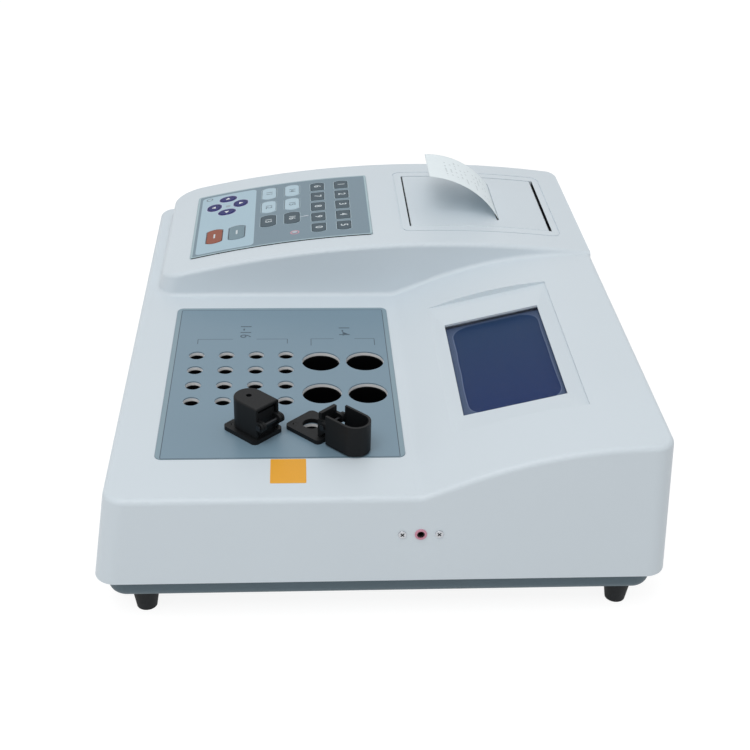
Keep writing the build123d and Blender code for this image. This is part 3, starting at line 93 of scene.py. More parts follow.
def middle_of(node: str) -> Triple:
    """Middle of a CAD node's box."""
    return tuple((low + high) / 2 for low, high in zip(*box(node)))


def plan(node: str, grow: float = 0.0) -> tuple[Pair, Pair]:
    """A CAD node's outline as seen from above.

    Args:
        node: The CAD node.
        grow: How far the outline is moved outwards.

    Returns:
        Its middle, and half of its width and of its length.
    """
    low, high = box(node)
    return middle_of(node)[:2], ((high.x - low.x) / 2 + grow, (high.y - low.y) / 2 + grow)


def tint(colour: Colour) -> tuple[float, float, float, float]:
    """Linear colour of a display colour in 8 bits.

    Args:
        colour: Red, green and blue, 0 to 255.

    Returns:
        Red, green, blue and an alpha of 1, all linear.
    """
    shares = (channel / 255 for channel in colour)
    linear = (c / 12.92 if c <= 0.04045 else ((c + 0.055) / 1.055) ** 2.4 for c in shares)
    return (*linear, 1.0)


def operator(operation: str, reflected: bool = False) -> Callable[["Signal", Any], "Signal"]:
    """A Python operator that adds one Math node.

    Args:
        operation: The node's operation.
        reflected: Whether the other term comes first.

    Returns:
        The operator, as a method of Signal.
    """

    def apply(this: "Signal", other: Any) -> "Signal":
        """The node's output for both terms."""
        return this.maths(operation, *((other, this) if reflected else (this, other)))

    return apply


class Signal:
    """A node's output that takes part in Python sums."""

    def __init__(self, graph: "Graph", socket: bpy.types.NodeSocket) -> None:
        """Keeps the socket and the graph that it belongs to."""
        self.graph = graph
        self.socket = socket

    def maths(self, operation: str, *terms: Any) -> "Signal":
        """One Math node on the terms, in order."""
        return self.graph.node("ShaderNodeMath", {"operation": operation}, dict(enumerate(terms)))

    __add__, __radd__ = operator("ADD"), operator("ADD", reflected=True)
    __sub__, __rsub__ = operator("SUBTRACT"), operator("SUBTRACT", reflected=True)
    __mul__, __rmul__ = operator("MULTIPLY"), operator("MULTIPLY", reflected=True)
    __truediv__ = operator("DIVIDE")
    __pow__ = operator("POWER")
    __mod__ = operator("FLOORED_MODULO")
    __gt__ = operator("GREATER_THAN")
    least = operator("MINIMUM")
    most = operator("MAXIMUM")

    def __abs__(self) -> "Signal":
        """This without its sign."""
        return self.maths("ABSOLUTE", self)

    def clamped(self) -> "Signal":
        """This kept between 0 and 1."""
        return self.least(1.0).most(0.0)


class Graph:
    """The node tree of a material or of the world."""

    def __init__(self, owner: Owner) -> None:
        """Opens the owner's node tree."""
        owner.use_nodes = True
        self.tree = owner.node_tree

    def node(
        self,
        kind: str,
        settings: dict[str, Any] | None = None,
        inputs: dict[Any, Any] | None = None,
        output: int | str = 0,
    ) -> Signal:
        """Adds one node.

        Args:
            kind: The node's type.
            settings: Its properties, set first.
            inputs: A value or a Signal for each of its sockets, by number or name.
            output: The output that is handed back.

        Returns:
            That output as a Signal.
        """
        made = self.tree.nodes.new(kind)
        for key, value in (settings or {}).items():
            setattr(made, key, value)
        for key, value in (inputs or {}).items():
            self.feed(made.inputs[key], value)
        return Signal(self, made.outputs[output])

    def feed(self, socket: bpy.types.NodeSocket, value: Any) -> None:
        """Links a Signal to a socket, or sets a plain value on it."""
        if isinstance(value, Signal):
            self.tree.links.new(value.socket, socket)
        else:
            socket.default_value = value


class Shader(Graph):
    """A node material with one Principled surface."""

    def __init__(self, name: str) -> None:
        """Starts an empty material of that name."""
        self.material = bpy.data.materials.new(name)
        super().__init__(self.material)
        self.surface = self.tree.nodes["Principled BSDF"]
        self.place = self.node("ShaderNodeTexCoord", output="Object")

    def fix(self, **constants: Any) -> None:
        """Sets constant sockets of the surface, with their names' spaces as underscores."""
        for name, value in constants.items():
            self.surface.inputs[name.replace("_", " ").title().replace("Ior", "IOR")].default_value = value

    def drive(self, socket: str, value: Signal) -> None:
        """Feeds a varying value to a socket of the surface."""
        self.feed(self.surface.inputs[socket], value)

    def axes(self, vector: Signal | None = None) -> tuple[Signal, ...]:
        """X, Y and Z of a vector, which is the shaded point unless another is given."""
        made = self.node("ShaderNodeSeparateXYZ", {}, {0: vector or self.place}).socket.node
        return tuple(Signal(self, output) for output in made.outputs)

    def noise(self, grain: float, detail: float = 2.0, stretch: Sequence[float] = (1, 1, 1)) -> Signal:
        """Noise about 0.5.

        Args:
            grain: Size of its features.
            detail: Finer octaves on top.
            stretch: How much longer the features are along each axis.

        Returns:
            The noise's value.
        """
        scale = tuple(1 / (grain * share) for share in stretch)
        spread = self.node("ShaderNodeMapping", {}, {"Vector": self.place, "Scale": scale})
        return self.node("ShaderNodeTexNoise", {}, {"Vector": spread, "Scale": 1.0, "Detail": detail})

    def mix(self, factor: Any, first: Any, second: Any, blend: str = "MIX") -> Signal:
        """Colour between first, at factor 0, and second, at factor 1, or another blend of both."""
        settings = {"data_type": "RGBA", "blend_type": blend}
        return self.node("ShaderNodeMix", settings, {0: factor, 6: first, 7: second}, 2)

    def shade(self, colour: Any, factor: Signal, depth: float) -> Signal:
        """Darkens a colour by up to depth as factor goes to 0."""
        scale = self.mix(factor, (*(1 - depth,) * 3, 1), (1, 1, 1, 1))
        return self.mix(1.0, colour, scale, "MULTIPLY")

    def rough(self, base: float, swing: float, noise: Signal) -> None:
        """Lets the surface's roughness swing about its base with a noise."""
        self.drive("Roughness", base + (noise - 0.5) * swing)

    def emboss(self, height: Signal, depth: float) -> None:
        """Raises the surface's normal by a height of 0 to 1 times depth."""
        bump = self.node("ShaderNodeBump", {}, {"Strength": 1.0, "Distance": depth, "Height": height})
        self.drive("Normal", bump)

    @staticmethod
    def frame_of(
        u: Signal, v: Signal, middle: Sequence[float], half: Sequence[float], corner: float = 0.0
    ) -> Signal:
        """Signed distance to a rounded rectangle, negative inside.

        Args:
            u: First coordinate of the point.
            v: Second coordinate of the point.
            middle: The rectangle's centre.
            half: Half of its width and of its length.
            corner: Radius of its corners.

        Returns:
            The distance, in the coordinates' unit.
        """
        du = abs(u - middle[0]) - (half[0] - corner)
        dv = abs(v - middle[1]) - (half[1] - corner)
        outside = (du.most(0.0) ** 2 + dv.most(0.0) ** 2) ** 0.5
        return outside + du.most(dv).least(0.0) - corner

    @staticmethod
    def fill(distance: Signal, soft: float = PRINT_SOFTNESS) -> Signal:
        """1 inside an outline, given the signed distance to it."""
        return (0.5 - distance / soft).clamped()

    @staticmethod
    def line(distance: Signal, width: float) -> Signal:
        """1 on a line of that width along an outline."""
        return (0.5 - (abs(distance) - width / 2) / PRINT_SOFTNESS).clamped()


@dataclass(frozen=True)
class Coating:
    """What all finishes share: a name, and a material that is painted when it is made."""

    name: str

    def build(self) -> bpy.types.Material:
        """Makes the material."""
        shader = Shader(self.name)
        self.paint(shader)
        return shader.material

    def paint(self, shader: Shader) -> None:
        """Gives the surface its colour, roughness and relief."""
        raise NotImplementedError


@dataclass(frozen=True)
class Moulded(Coating):
    """Injection-moulded plastic or rubber with a fine eroded grain."""

    colour: Colour
    roughness: float
    grain: float
    depth: float
    mottle: float
    shine: float = 0.5
    cloud: float = 70 * MM
    swing: Pair = (0.16, 0.08)

    def paint(self, shader: Shader) -> None:
        """Grain in the roughness and the relief, and a faint mottle in the colour."""
        fine, cloud = shader.noise(self.grain, detail=3.0), shader.noise(self.cloud)
        shader.drive("Base Color", shader.shade(self.ground(shader), cloud, self.mottle))
        by_grain, by_cloud = self.swing
        shader.drive("Roughness", self.roughness + (fine - 0.5) * by_grain + (cloud - 0.5) * by_cloud)
        shader.emboss(fine, self.depth)
        shader.fix(specular_ior_level=self.shine)

    def ground(self, _: Shader) -> Any:
        """The plastic's own colour, before its mottle."""
        return tint(self.colour)


@dataclass(frozen=True)
class Shell(Moulded):
    """Housing plastic whose well walls are painted near-white at the rim, a painted highlight against the
    shade in the wells, and black lower down.
    """

    # Painted highlight: the wells' rims are painted whiter than the housing to offset the shade in the
    # holes.
    rim: Colour = (246, 247, 248)
    # The well walls below the rim are painted black.
    sleeve: Colour = (8, 8, 9)
    rim_depth: float = 2.3 * MM
    reach: float = 12.0 * MM

    def ground(self, shader: Shader) -> Any:
        """The shell's colour, with the wells' walls painted near-white at the rim, which is painted light,
        and black lower down.
        """
        low, high = box("deck_panel")
        x, y, z = shader.axes()
        under = shader.fill(shader.frame_of(x, y, *plan("deck_panel"), self.rim_depth))
        under = under * (low.z - z > PRINT_SOFTNESS) * (z > low.z - self.reach)
        deep = shader.fill(z - (high.z - self.rim_depth), 3 * PRINT_SOFTNESS)
        wall = shader.mix(deep, tint(self.rim), tint(self.sleeve))
        return shader.mix(under, tint(self.colour), wall)


@dataclass(frozen=True)
class Metal(Coating):
    """Turned, brushed or plated metal with fine tool marks."""

    colour: Colour
    roughness: float
    stretch: Triple = (1, 1, 1)
    mark: float = 0.5 * MM
    depth: float = 0.006 * MM
    swing: float = 0.2
    cloud: float = 12 * MM
    stain: float = 0.18

    def paint(self, shader: Shader) -> None:
        """Tool marks in the roughness and the relief, and stains in the colour."""
        marks, cloud = shader.noise(self.mark, 3.0, self.stretch), shader.noise(self.cloud)
        shader.drive("Base Color", shader.shade(tint(self.colour), cloud, self.stain))
        shader.rough(self.roughness, self.swing, marks)
        shader.emboss(marks, self.depth)
        shader.fix(metallic=1.0)


@dataclass(frozen=True)
class Clear(Coating):
    """Clear window or lens, nearly see-through."""

    colour: Colour
    alpha: float
    shine: float = 0.5
    coat: float = 0.4
    roughness: float = 0.06
    swing: float = 0.06
    cloud: float = 20 * MM

    def paint(self, shader: Shader) -> None:
        """A faint haze in the roughness."""
        shader.drive("Roughness", self.roughness + shader.noise(self.cloud) * self.swing)
        shader.fix(base_color=tint(self.colour), alpha=self.alpha, coat_weight=self.coat)
        shader.fix(specular_ior_level=self.shine)


@dataclass(frozen=True)
class Ink(Coating):
    """Screen-printed ink, slightly uneven."""

    colour: Colour
    roughness: float = 0.5
    swing: float = 0.15
    grain: float = 0.4 * MM
    mottle: float = 0.12

    def paint(self, shader: Shader) -> None:
        """Specks in the colour and the roughness."""
        speck = shader.noise(self.grain)
        shader.drive("Base Color", shader.shade(tint(self.colour), speck, self.mottle))
        shader.rough(self.roughness, self.swing, speck)


@dataclass(frozen=True)
class Board(Coating):
    """Circuit board: solder mask over copper traces."""

    colour: Colour
    trace: Colour
    cell: float = 6.0 * MM
    pitch: Pair = (2.1 * MM, 2.7 * MM)
    wander: Pair = (3.0, 2.0)
    gap: Pair = (0.36, 0.4)
    more_than: float = 0.48
    less_than: float = 0.52
    roughness: float = 0.34
    swing: float = 0.1
    relief: float = 0.03 * MM

    def paint(self, shader: Shader) -> None:
        """Traces along X where the cells' noise is high, and along Y where it is low."""
        x, y, _ = shader.axes()
        cells = shader.noise(self.cell, detail=1.0)
        along, across = (
            abs((place / pitch + cells * wander) % 1.0 - 0.5) > gap
            for place, pitch, wander, gap in zip((x, y), self.pitch, self.wander, self.gap)
        )
        traces = (along * (cells > self.more_than)).most(across * (self.less_than - cells > 0))
        shader.drive("Base Color", shader.mix(traces, tint(self.colour), tint(self.trace)))
        shader.drive("Roughness", self.roughness + cells * self.swing)
        shader.emboss(traces, self.relief)


@dataclass(frozen=True)
class Paper(Coating):
    """Thermal paper with faint printed rows of dashes along its own length."""

    colour: Colour
    ink: Colour
    rows: float = 15.0
    columns: float = 22.0
    faint: float = 0.34
    row_half: float = 0.16
    dash_half: float = 0.36
    text_half: float = 0.33
    blank_share: float = 0.62
    span: Pair = (0.12, 0.8)
    grain: float = 1.2 * MM
    mottle: float = 0.06
    roughness: float = 0.62
    swing: float = 0.2
    relief: float = 0.02 * MM

    def paint(self, shader: Shader) -> None:
        """Dashes in cells picked by a noise, on fibrous paper."""
        across, along, _ = shader.axes(shader.node("ShaderNodeTexCoord", output="UV"))
        columns, rows = across * self.columns, along * self.rows
        in_column, in_row = columns % 1.0, rows % 1.0
        cell = shader.node("ShaderNodeCombineXYZ", {}, {0: columns - in_column, 1: rows - in_row})
        pick = shader.node("ShaderNodeTexWhiteNoise", {"noise_dimensions": "2D"}, {"Vector": cell})
        dash = (self.row_half - abs(in_row - 0.5) > 0) * (self.dash_half - abs(in_column - 0.5) > 0)
        shown = dash * (pick > self.blank_share) * (self.text_half - abs(across - 0.5) > 0)
        shown = shown * (along > self.span[0]) * (self.span[1] - along > 0)
        fibre = shader.noise(self.grain, detail=4.0)
        blank = shader.shade(tint(self.colour), fibre, self.mottle)
        shader.drive("Base Color", shader.mix(shown * self.faint, blank, tint(self.ink)))
        shader.rough(self.roughness, self.swing, fibre)
        shader.emboss(fibre, self.relief)


@dataclass(frozen=True)
class RollPaper(Coating):
    """Wound paper: rings on the ends of the roll, about its axis."""

    colour: Colour
    turn: float = 0.7 * MM
    # Painted shade: each turn is darkened in the colour where its relief is low.
    groove: float = 0.22
    roughness: float = 0.6
    swing: float = 0.1
    relief: float = 0.04 * MM

    def paint(self, shader: Shader) -> None:
        """Rings in the roughness and the relief, and painted shade in the colour where the rings' relief is
        low.
        """
        _, axis_y, axis_z = middle_of("paper_roll")
        _, y, z = shader.axes()
        radius = ((y - axis_y) ** 2 + (z - axis_z) ** 2) ** 0.5
        ring = abs((radius / self.turn) % 1.0 - 0.5) * 2
        shader.drive("Base Color", shader.shade(tint(self.colour), ring, self.groove))
        shader.drive("Roughness", self.roughness + ring * self.swing)
        shader.emboss(ring, self.relief)


@dataclass(frozen=True)
class Film(Coating):
    """What the printed overlays share: a fine weave and a faint mottle."""

    cloud: float = 50 * MM
    mottle: float = 0.05
    weave: float = 0.5 * MM
    roughness: float = 0.4
    swing: float = 0.2
    relief: float = 0.008 * MM

    def mottled(self, shader: Shader, colour: Signal) -> Signal:
        """A colour with the sheet's mottle."""
        return shader.shade(colour, shader.noise(self.cloud), self.mottle)

    def lay(self, shader: Shader, colour: Signal) -> None:
        """Gives the woven surface its print."""
        weave = shader.noise(self.weave)
        shader.drive("Base Color", colour)
        shader.rough(self.roughness, self.swing, weave)
        shader.emboss(weave, self.relief)


@dataclass(frozen=True)
class DeckFilm(Film):
    """Printed overlay of the deck: a pale band, a dark line inside it and two brackets."""

    ground: Colour = (115, 140, 156)
    band: Colour = (128, 151, 163)
    rule: Colour = (62, 82, 96)
    inset: float = 2.7 * MM
    near_inset: float = 0.4 * MM
    corner: float = 0.8 * MM
    rule_width: float = 0.45 * MM
    bracket_x: float = 18.1 * MM
    ticks: Pair = (5.5 * MM, 8.0 * MM)
    samples: tuple[float, ...] = (-99.2 * MM, -79.1 * MM, -65.6 * MM, -47.7 * MM)
    reagents: tuple[float, ...] = (-34.0 * MM, -20.8 * MM, -8.7 * MM, 2.7 * MM)

    def paint(self, shader: Shader) -> None:
        """The band, its line and the brackets on the ground colour."""
        low, high = box("deck_panel")
        x, y, _ = shader.axes()
        far, near = low.x + self.inset, high.x - self.near_inset
        half = ((near - far) / 2, (high.y - low.y) / 2 - self.inset)
        edge = shader.frame_of(x, y, ((far + near) / 2, (low.y + high.y) / 2), half, self.corner)
        colour = shader.mix(shader.fill(edge), tint(self.band), tint(self.ground))
        marks = shader.line(edge, self.rule_width)
        for stops, tick in zip((self.samples, self.reagents), self.ticks):
            for bar in self._bracket(stops, tick):
                marks = marks.most(shader.fill(shader.frame_of(x, y, *bar)))
        self.lay(shader, shader.mix(marks, self.mottled(shader, colour), tint(self.rule)))

    def _bracket(self, stops: Sequence[float], tick: float) -> list[tuple[Pair, Pair]]:
        """Two lines with a gap between them, and a tick at each far end.

        Args:
            stops: Where the first line starts and ends, and where the second does.
            tick: Length of the ticks.

        Returns:
            The middle and the half size of each bar.
        """
        half = self.rule_width / 2
        bars = [
            ((self.bracket_x, (start + end) / 2), (half, (end - start) / 2))
            for start, end in (stops[:2], stops[2:])
        ]
        return bars + [((self.bracket_x + tick / 2, end), (tick / 2, half)) for end in (stops[0], stops[3])]


@dataclass(frozen=True)
class KeypadFilm(Film):
    """Printed keypad overlay: pale edge, grey ground, light panel, arrow surrounds and small marks."""

    cloud: float = 40 * MM
    roughness: float = 0.42
    swing: float = 0.18
    ground: Colour = (109, 132, 146)
    edge: Colour = (160, 184, 192)
    edge_width: float = 1.3 * MM
    edge_corner: float = 1.0 * MM
    panel: Colour = (164, 191, 205)
    panel_at: Pair = (-106.4 * MM, -87.0 * MM)
    panel_half: Pair = (45.4 * MM, 18.2 * MM)
    panel_corner: float = 3.0 * MM
    surround: Colour = (30, 34, 100)
    surround_grow: float = 0.8 * MM
    surround_rim: Colour = (190, 200, 226)
    surround_rim_width: float = 0.35 * MM
    square: Colour = (146, 160, 170)
    square_at: Pair = (-130.8 * MM, -87.4 * MM)
    square_half: float = 1.5 * MM
    dial: Colour = (104, 118, 128)
    dial_at: Pair = (-148.0 * MM, -100.5 * MM)
    dial_radius: float = 1.9 * MM
    dial_width: float = 0.8 * MM
    ring: Colour = (196, 142, 156)
    ring_at: Pair = (-70.8 * MM, -43.0 * MM)
    ring_radius: float = 2.5 * MM
    ring_width: float = 0.8 * MM
    lamp_at: Pair = (-94.4 * MM, -35.6 * MM)
    lamp_half: Pair = (0.9 * MM, 1.5 * MM)
    lead: Colour = (214, 224, 228)
    lead_width: float = 0.4 * MM

    def paint(self, shader: Shader) -> None:
        """The printed areas, each over those before it."""
        x, y, _ = shader.axes()
        colour = tint(self.edge)
        for mask, over in self._layers(shader, x, y):
            colour = shader.mix(mask, colour, tint(over))
        self.lay(shader, self.mottled(shader, colour))

    def _layers(self, shader: Shader, x: Signal, y: Signal) -> Iterator[tuple[Signal, Colour]]:
        """The printed areas from the bottom up.

        Args:
            shader: The film's shader.
            x: X of the shaded point.
            y: Y of the shaded point.

        Yields:
            Where the area shows, and its colour.
        """

        def area(middle: Sequence[float], half: Sequence[float], corner: float = 0.0) -> Signal:
            """Signed distance to a rounded rectangle on the film."""
            return shader.frame_of(x, y, middle, half, corner)

        yield shader.fill(area(*plan("keypad_overlay", -self.edge_width), self.edge_corner)), self.ground
        yield shader.fill(area(self.panel_at, self.panel_half, self.panel_corner)), self.panel
        for way in ("up", "down", "left", "right"):
            middle, half = plan(f"key_arrow_{way}", self.surround_grow)
            petal = area(middle, half, min(half))
            yield shader.fill(petal - self.surround_rim_width), self.surround_rim
            yield shader.fill(petal), self.surround
        square = area(self.square_at, (self.square_half,) * 2, self.square_half / 3)
        yield shader.fill(square), self.square
        dial = area(self.dial_at, (self.dial_radius,) * 2, self.dial_radius)
        yield shader.line(dial, self.dial_width), self.dial
        ring = area(self.ring_at, (self.ring_radius,) * 2, self.ring_radius)
        yield shader.line(ring, self.ring_width), self.ring
        lamp_x, lamp_y = self.lamp_at
        start, end = box("key_b3")[1].y, lamp_y - self.lamp_half[1]
        lead_half = (self.lead_width / 2, (end - start) / 2 + self.lead_width)
        yield shader.fill(area((lamp_x, (end + start) / 2), lead_half)), self.lead


@dataclass(frozen=True)
class DisplayFace(Coating):
    """Blue liquid-crystal face with a greyish mask and a thin rounded line between them."""

    blue: Colour = (38, 62, 98)
    deep: Colour = (36, 54, 100)
    mask: Colour = (84, 100, 130)
    rule: Colour = (124, 140, 172)
    inset: Pair = (2.0 * MM, 2.4 * MM)
    shift: Pair = (-1.9 * MM, 1.3 * MM)
    corner: float = 10.5 * MM
    rule_width: float = 0.4 * MM
    rule_share: float = 0.7
    wave: float = 1.2 * MM
    wave_length: float = 20 * MM
    roughness: float = 0.3
    swing: float = 0.06
    cloud: float = 30 * MM
    shine: float = 0.06

    def paint(self, shader: Shader) -> None:
        """The screen, the line around it and the mask."""
        display = DisplaySize()
        middle_x, middle_y, _ = middle_of("lcd_window")
        x, y, _ = shader.axes()
        up = (y - middle_y) / math.cos(display.tilt())
        wave = (shader.noise(self.wave_length, detail=0.0) - 0.5) * self.wave
        half = [view / 2 - inset for view, inset in zip(display.view, self.inset)]
        middle = (middle_x + self.shift[0], self.shift[1])
        edge = shader.frame_of(x, up, middle, half, self.corner) + wave
        fall = ((x - middle_x) / display.view[0] + 0.5).clamped()
        screen = shader.mix(fall, tint(self.blue), tint(self.deep))
        colour = shader.mix(shader.fill(edge), tint(self.mask), screen)
        rule = shader.line(edge, self.rule_width) * self.rule_share
        shader.drive("Base Color", shader.mix(rule, colour, tint(self.rule)))
        shader.drive("Roughness", self.roughness + shader.noise(self.cloud, detail=0.0) * self.swing)
        shader.fix(specular_ior_level=self.shine)


class Finish(Enum):
    """The finishes of the analyzer's pieces."""

    # Moulded and Shell: name, colour, roughness, size and depth of the grain, mottle, shine.
    HOUSING = Shell("Housing satin white", (208, 218, 225), 0.42, 0.0008, 0.00001, 0.035, 0.35)
    LID = Moulded("Printer lid white", (206, 216, 223), 0.44, 0.0008, 0.00001, 0.035, 0.35)
    # Painted light: a lighter colour that hides the shade on the wall beyond the display's frame.
    FRAME_LIP = Moulded("Display wall painted lighter", (214, 224, 230), 0.5, 0.0008, 0.00001, 0.03, 0.3)
    TRAY = Moulded("Tray slate", (92, 109, 118), 0.5, 0.0008, 0.000014, 0.06, 0.3)
    RUBBER = Moulded("Foot rubber", (20, 24, 27), 0.7, 0.0009, 0.00003, 0.12, 0.3)
    # Painted shade: a dark colour laid in the slits around the printer lid where their shade falls.
    SEAL = Moulded("Slit painted shade", (26, 28, 32), 0.8, 0.0006, 0.00003, 0.1, 0.1)
    BLACK = Moulded("Channel black", (18, 20, 22), 0.5, 0.0006, 0.000016, 0.1, 0.18)
    INLET = Moulded("Inlet black", (34, 36, 38), 0.42, 0.0007, 0.000012, 0.08, 0.4)
    ROCKER = Moulded("Rocker black", (26, 27, 29), 0.3, 0.0007, 0.000008, 0.06)
    GEAR = Moulded("Gear nylon", (222, 216, 200), 0.5, 0.0007, 0.000012, 0.06)
    PLATEN = Moulded("Platen rubber", (48, 50, 54), 0.7, 0.0006, 0.00002, 0.08, 0.3)
    SILICONE = Moulded("Heater silicone", (186, 98, 62), 0.6, 0.001, 0.00004, 0.1)
    CERAMIC = Moulded("Print head ceramic", (196, 186, 160), 0.35, 0.0006, 0.000008, 0.1)
    CHIP = Moulded("Chip resin", (36, 37, 39), 0.55, 0.0005, 0.00001, 0.08)
    JACK_RING = Moulded("Jack ring pink", (200, 138, 158), 0.3, 0.0006, 0.000008, 0.06)
    JACK_BODY = Moulded("Jack body", (40, 34, 36), 0.4, 0.0006, 0.000008, 0.06, 0.3)
    KEY_DARK = Moulded("Key slate", (66, 83, 93), 0.5, 0.0005, 0.00001, 0.05, 0.25)
    KEY_LIGHT = Moulded("Key pale", (178, 201, 213), 0.5, 0.0005, 0.00001, 0.04, 0.25)
    KEY_NAVY = Moulded("Key navy", (30, 34, 100), 0.46, 0.0005, 0.00001, 0.05, 0.2)
    KEY_RED = Moulded("Key russet", (142, 80, 62), 0.5, 0.0005, 0.00001, 0.05, 0.25)
    KEY_GREY = Moulded("Key grey", (118, 141, 152), 0.5, 0.0005, 0.00001, 0.05, 0.25)
    # Painted shade: the film's near edge is painted dark as the shade under its step.
    FILM_EDGE = Moulded("Keypad film edge painted shade", (30, 40, 46), 0.5, 0.0005, 0.00001, 0.04, 0.1)
    # Metal: name, colour, roughness, stretch of the tool marks.
    STEEL = Metal("Zinc plated steel", (196, 199, 204), 0.24)
    PIN_STEEL = Metal("Hinge pin blackened", (58, 60, 63), 0.4)
    CHASSIS = Metal("Chassis zinc sheet", (168, 172, 178), 0.38, (6, 1, 1))
    BEZEL = Metal("Display bezel", (150, 153, 158), 0.35, (8, 1, 1))
    NICKEL = Metal("Contact nickel", (196, 192, 182), 0.25)
    BRASS = Metal("Post brass", (190, 158, 92), 0.3)
    ANODISED = Metal("Block anodised", (20, 21, 23), 0.6)
    # Clear: name, colour, alpha, shine, coat.
    WINDOW = Clear("Display window", (60, 68, 84), 0.04, 0.06, 0.0)
    RESIN = Clear("Lamp resin", (214, 222, 228), 0.4)
    GLASS_LENS = Clear("Indicator lens", (176, 190, 202), 0.85)
    # Ink: name, colour, roughness. Board: name, colour, traces. Paper: name, colour, ink.
    LEGEND_PALE = Ink("Legend pale", (206, 216, 221))
    LEGEND_SLATE = Ink("Legend slate", (104, 122, 134))
    LEGEND_DARK = Ink("Deck legend dark", (72, 92, 106))
    # Painted shade: dark crosses stand for the shade in the screws' cross recesses.
    RECESS = Ink("Screw recess shade", (40, 42, 46), 0.6)
    LEGEND_WHITE = Ink("Legend white", (228, 232, 236))
    AMBER = Ink("Amber sticker", (230, 164, 38))
    CIRCUIT = Board("Circuit green", (18, 74, 46), (40, 112, 70))
    MEMBRANE = Board("Membrane circuit", (196, 204, 208), (150, 156, 160))
    PAPER = Paper("Thermal paper", (236, 246, 250), (110, 122, 132))
    ROLL = RollPaper("Paper roll", (226, 230, 230))
    DECK_FILM = DeckFilm("Deck film print")
    KEYPAD_FILM = KeypadFilm("Keypad film print")
    KEYPAD_OUTLINE = KeypadFilm("Keypad outline print", ground=(156, 178, 188), panel=(100, 112, 122))
    DISPLAY = DisplayFace("Display face")

    def material(self) -> bpy.types.Material:
        """The finish's material, made when it is first asked for."""
        return bpy.data.materials.get(self.value.name) or self.value.build()


def only(piece: Piece) -> None:
    """Selects one object and nothing else, and makes it the active one."""
    bpy.ops.object.select_all(action="DESELECT")
    piece.select_set(True)
    bpy.context.view_layer.objects.active = piece


def begin(add: Callable[..., set[str]], **settings: Any) -> Piece:
    """Adds a primitive with nothing else selected.

    Args:
        add: The operator that adds it.
        settings: What the operator is given.

    Returns:
        The new object.
    """
    bpy.ops.object.select_all(action="DESELECT")
    add(**settings)
    return bpy.context.active_object


def hang(data: bpy.types.Camera | bpy.types.Light, place: Matrix) -> Piece:
    """Puts a camera or a lamp into the scene at a place."""
    made = bpy.data.objects.new(data.name, data)
    bpy.context.scene.collection.objects.link(made)
    made.matrix_world = place
    return made


@contextmanager
def editing(piece: Piece, parts: str = "FACE") -> Iterator[None]:
    """Edit mode on one object and one kind of its parts, with nothing selected to start with."""
    only(piece)
    bpy.ops.object.mode_set(mode="EDIT")
    bpy.ops.mesh.select_mode(type=parts)
    bpy.ops.mesh.select_all(action="DESELECT")
    yield
    bpy.ops.object.mode_set(mode="OBJECT")


@contextmanager
def edited(piece: Piece) -> Iterator[bmesh.types.BMesh]:
    """The mesh of an object in edit mode, which is brought up to date afterwards."""
    mesh = bmesh.from_edit_mesh(piece.data)
    yield mesh
    bmesh.update_edit_mesh(piece.data)


def round_uprights(piece: Piece, height: float, radius: float, segments: int) -> None:
    """Rounds the upright edges of a flat piece.

    Args:
        piece: The piece, lying on the XY plane.
        height: How thick it is.
        radius: Radius of the rounding.
        segments: Number of faces in each rounding.
    """
    with editing(piece, "EDGE"):
        with edited(piece) as mesh:
            for edge in mesh.edges:
                edge.select_set(abs(edge.verts[0].co.z - edge.verts[1].co.z) > height / 2)
        bpy.ops.mesh.bevel(offset=radius, segments=segments, affect="EDGES")


def finish_modifier(piece: Piece, kind: str, **settings: Any) -> None:
    """Adds a modifier with those settings and applies it."""
    only(piece)
    modifier = piece.modifiers.new(kind.title(), kind)
    for name, value in settings.items():
        setattr(modifier, name, value)
    bpy.ops.object.modifier_apply(modifier=modifier.name)


def settle(piece: Piece, place: Matrix) -> None:
    """Puts an object's place, and one more transform, into its mesh, so that it sits at the origin."""
    piece.data.transform(place @ piece.matrix_world)
    piece.matrix_world = Matrix.Identity(4)
    piece.data.update()


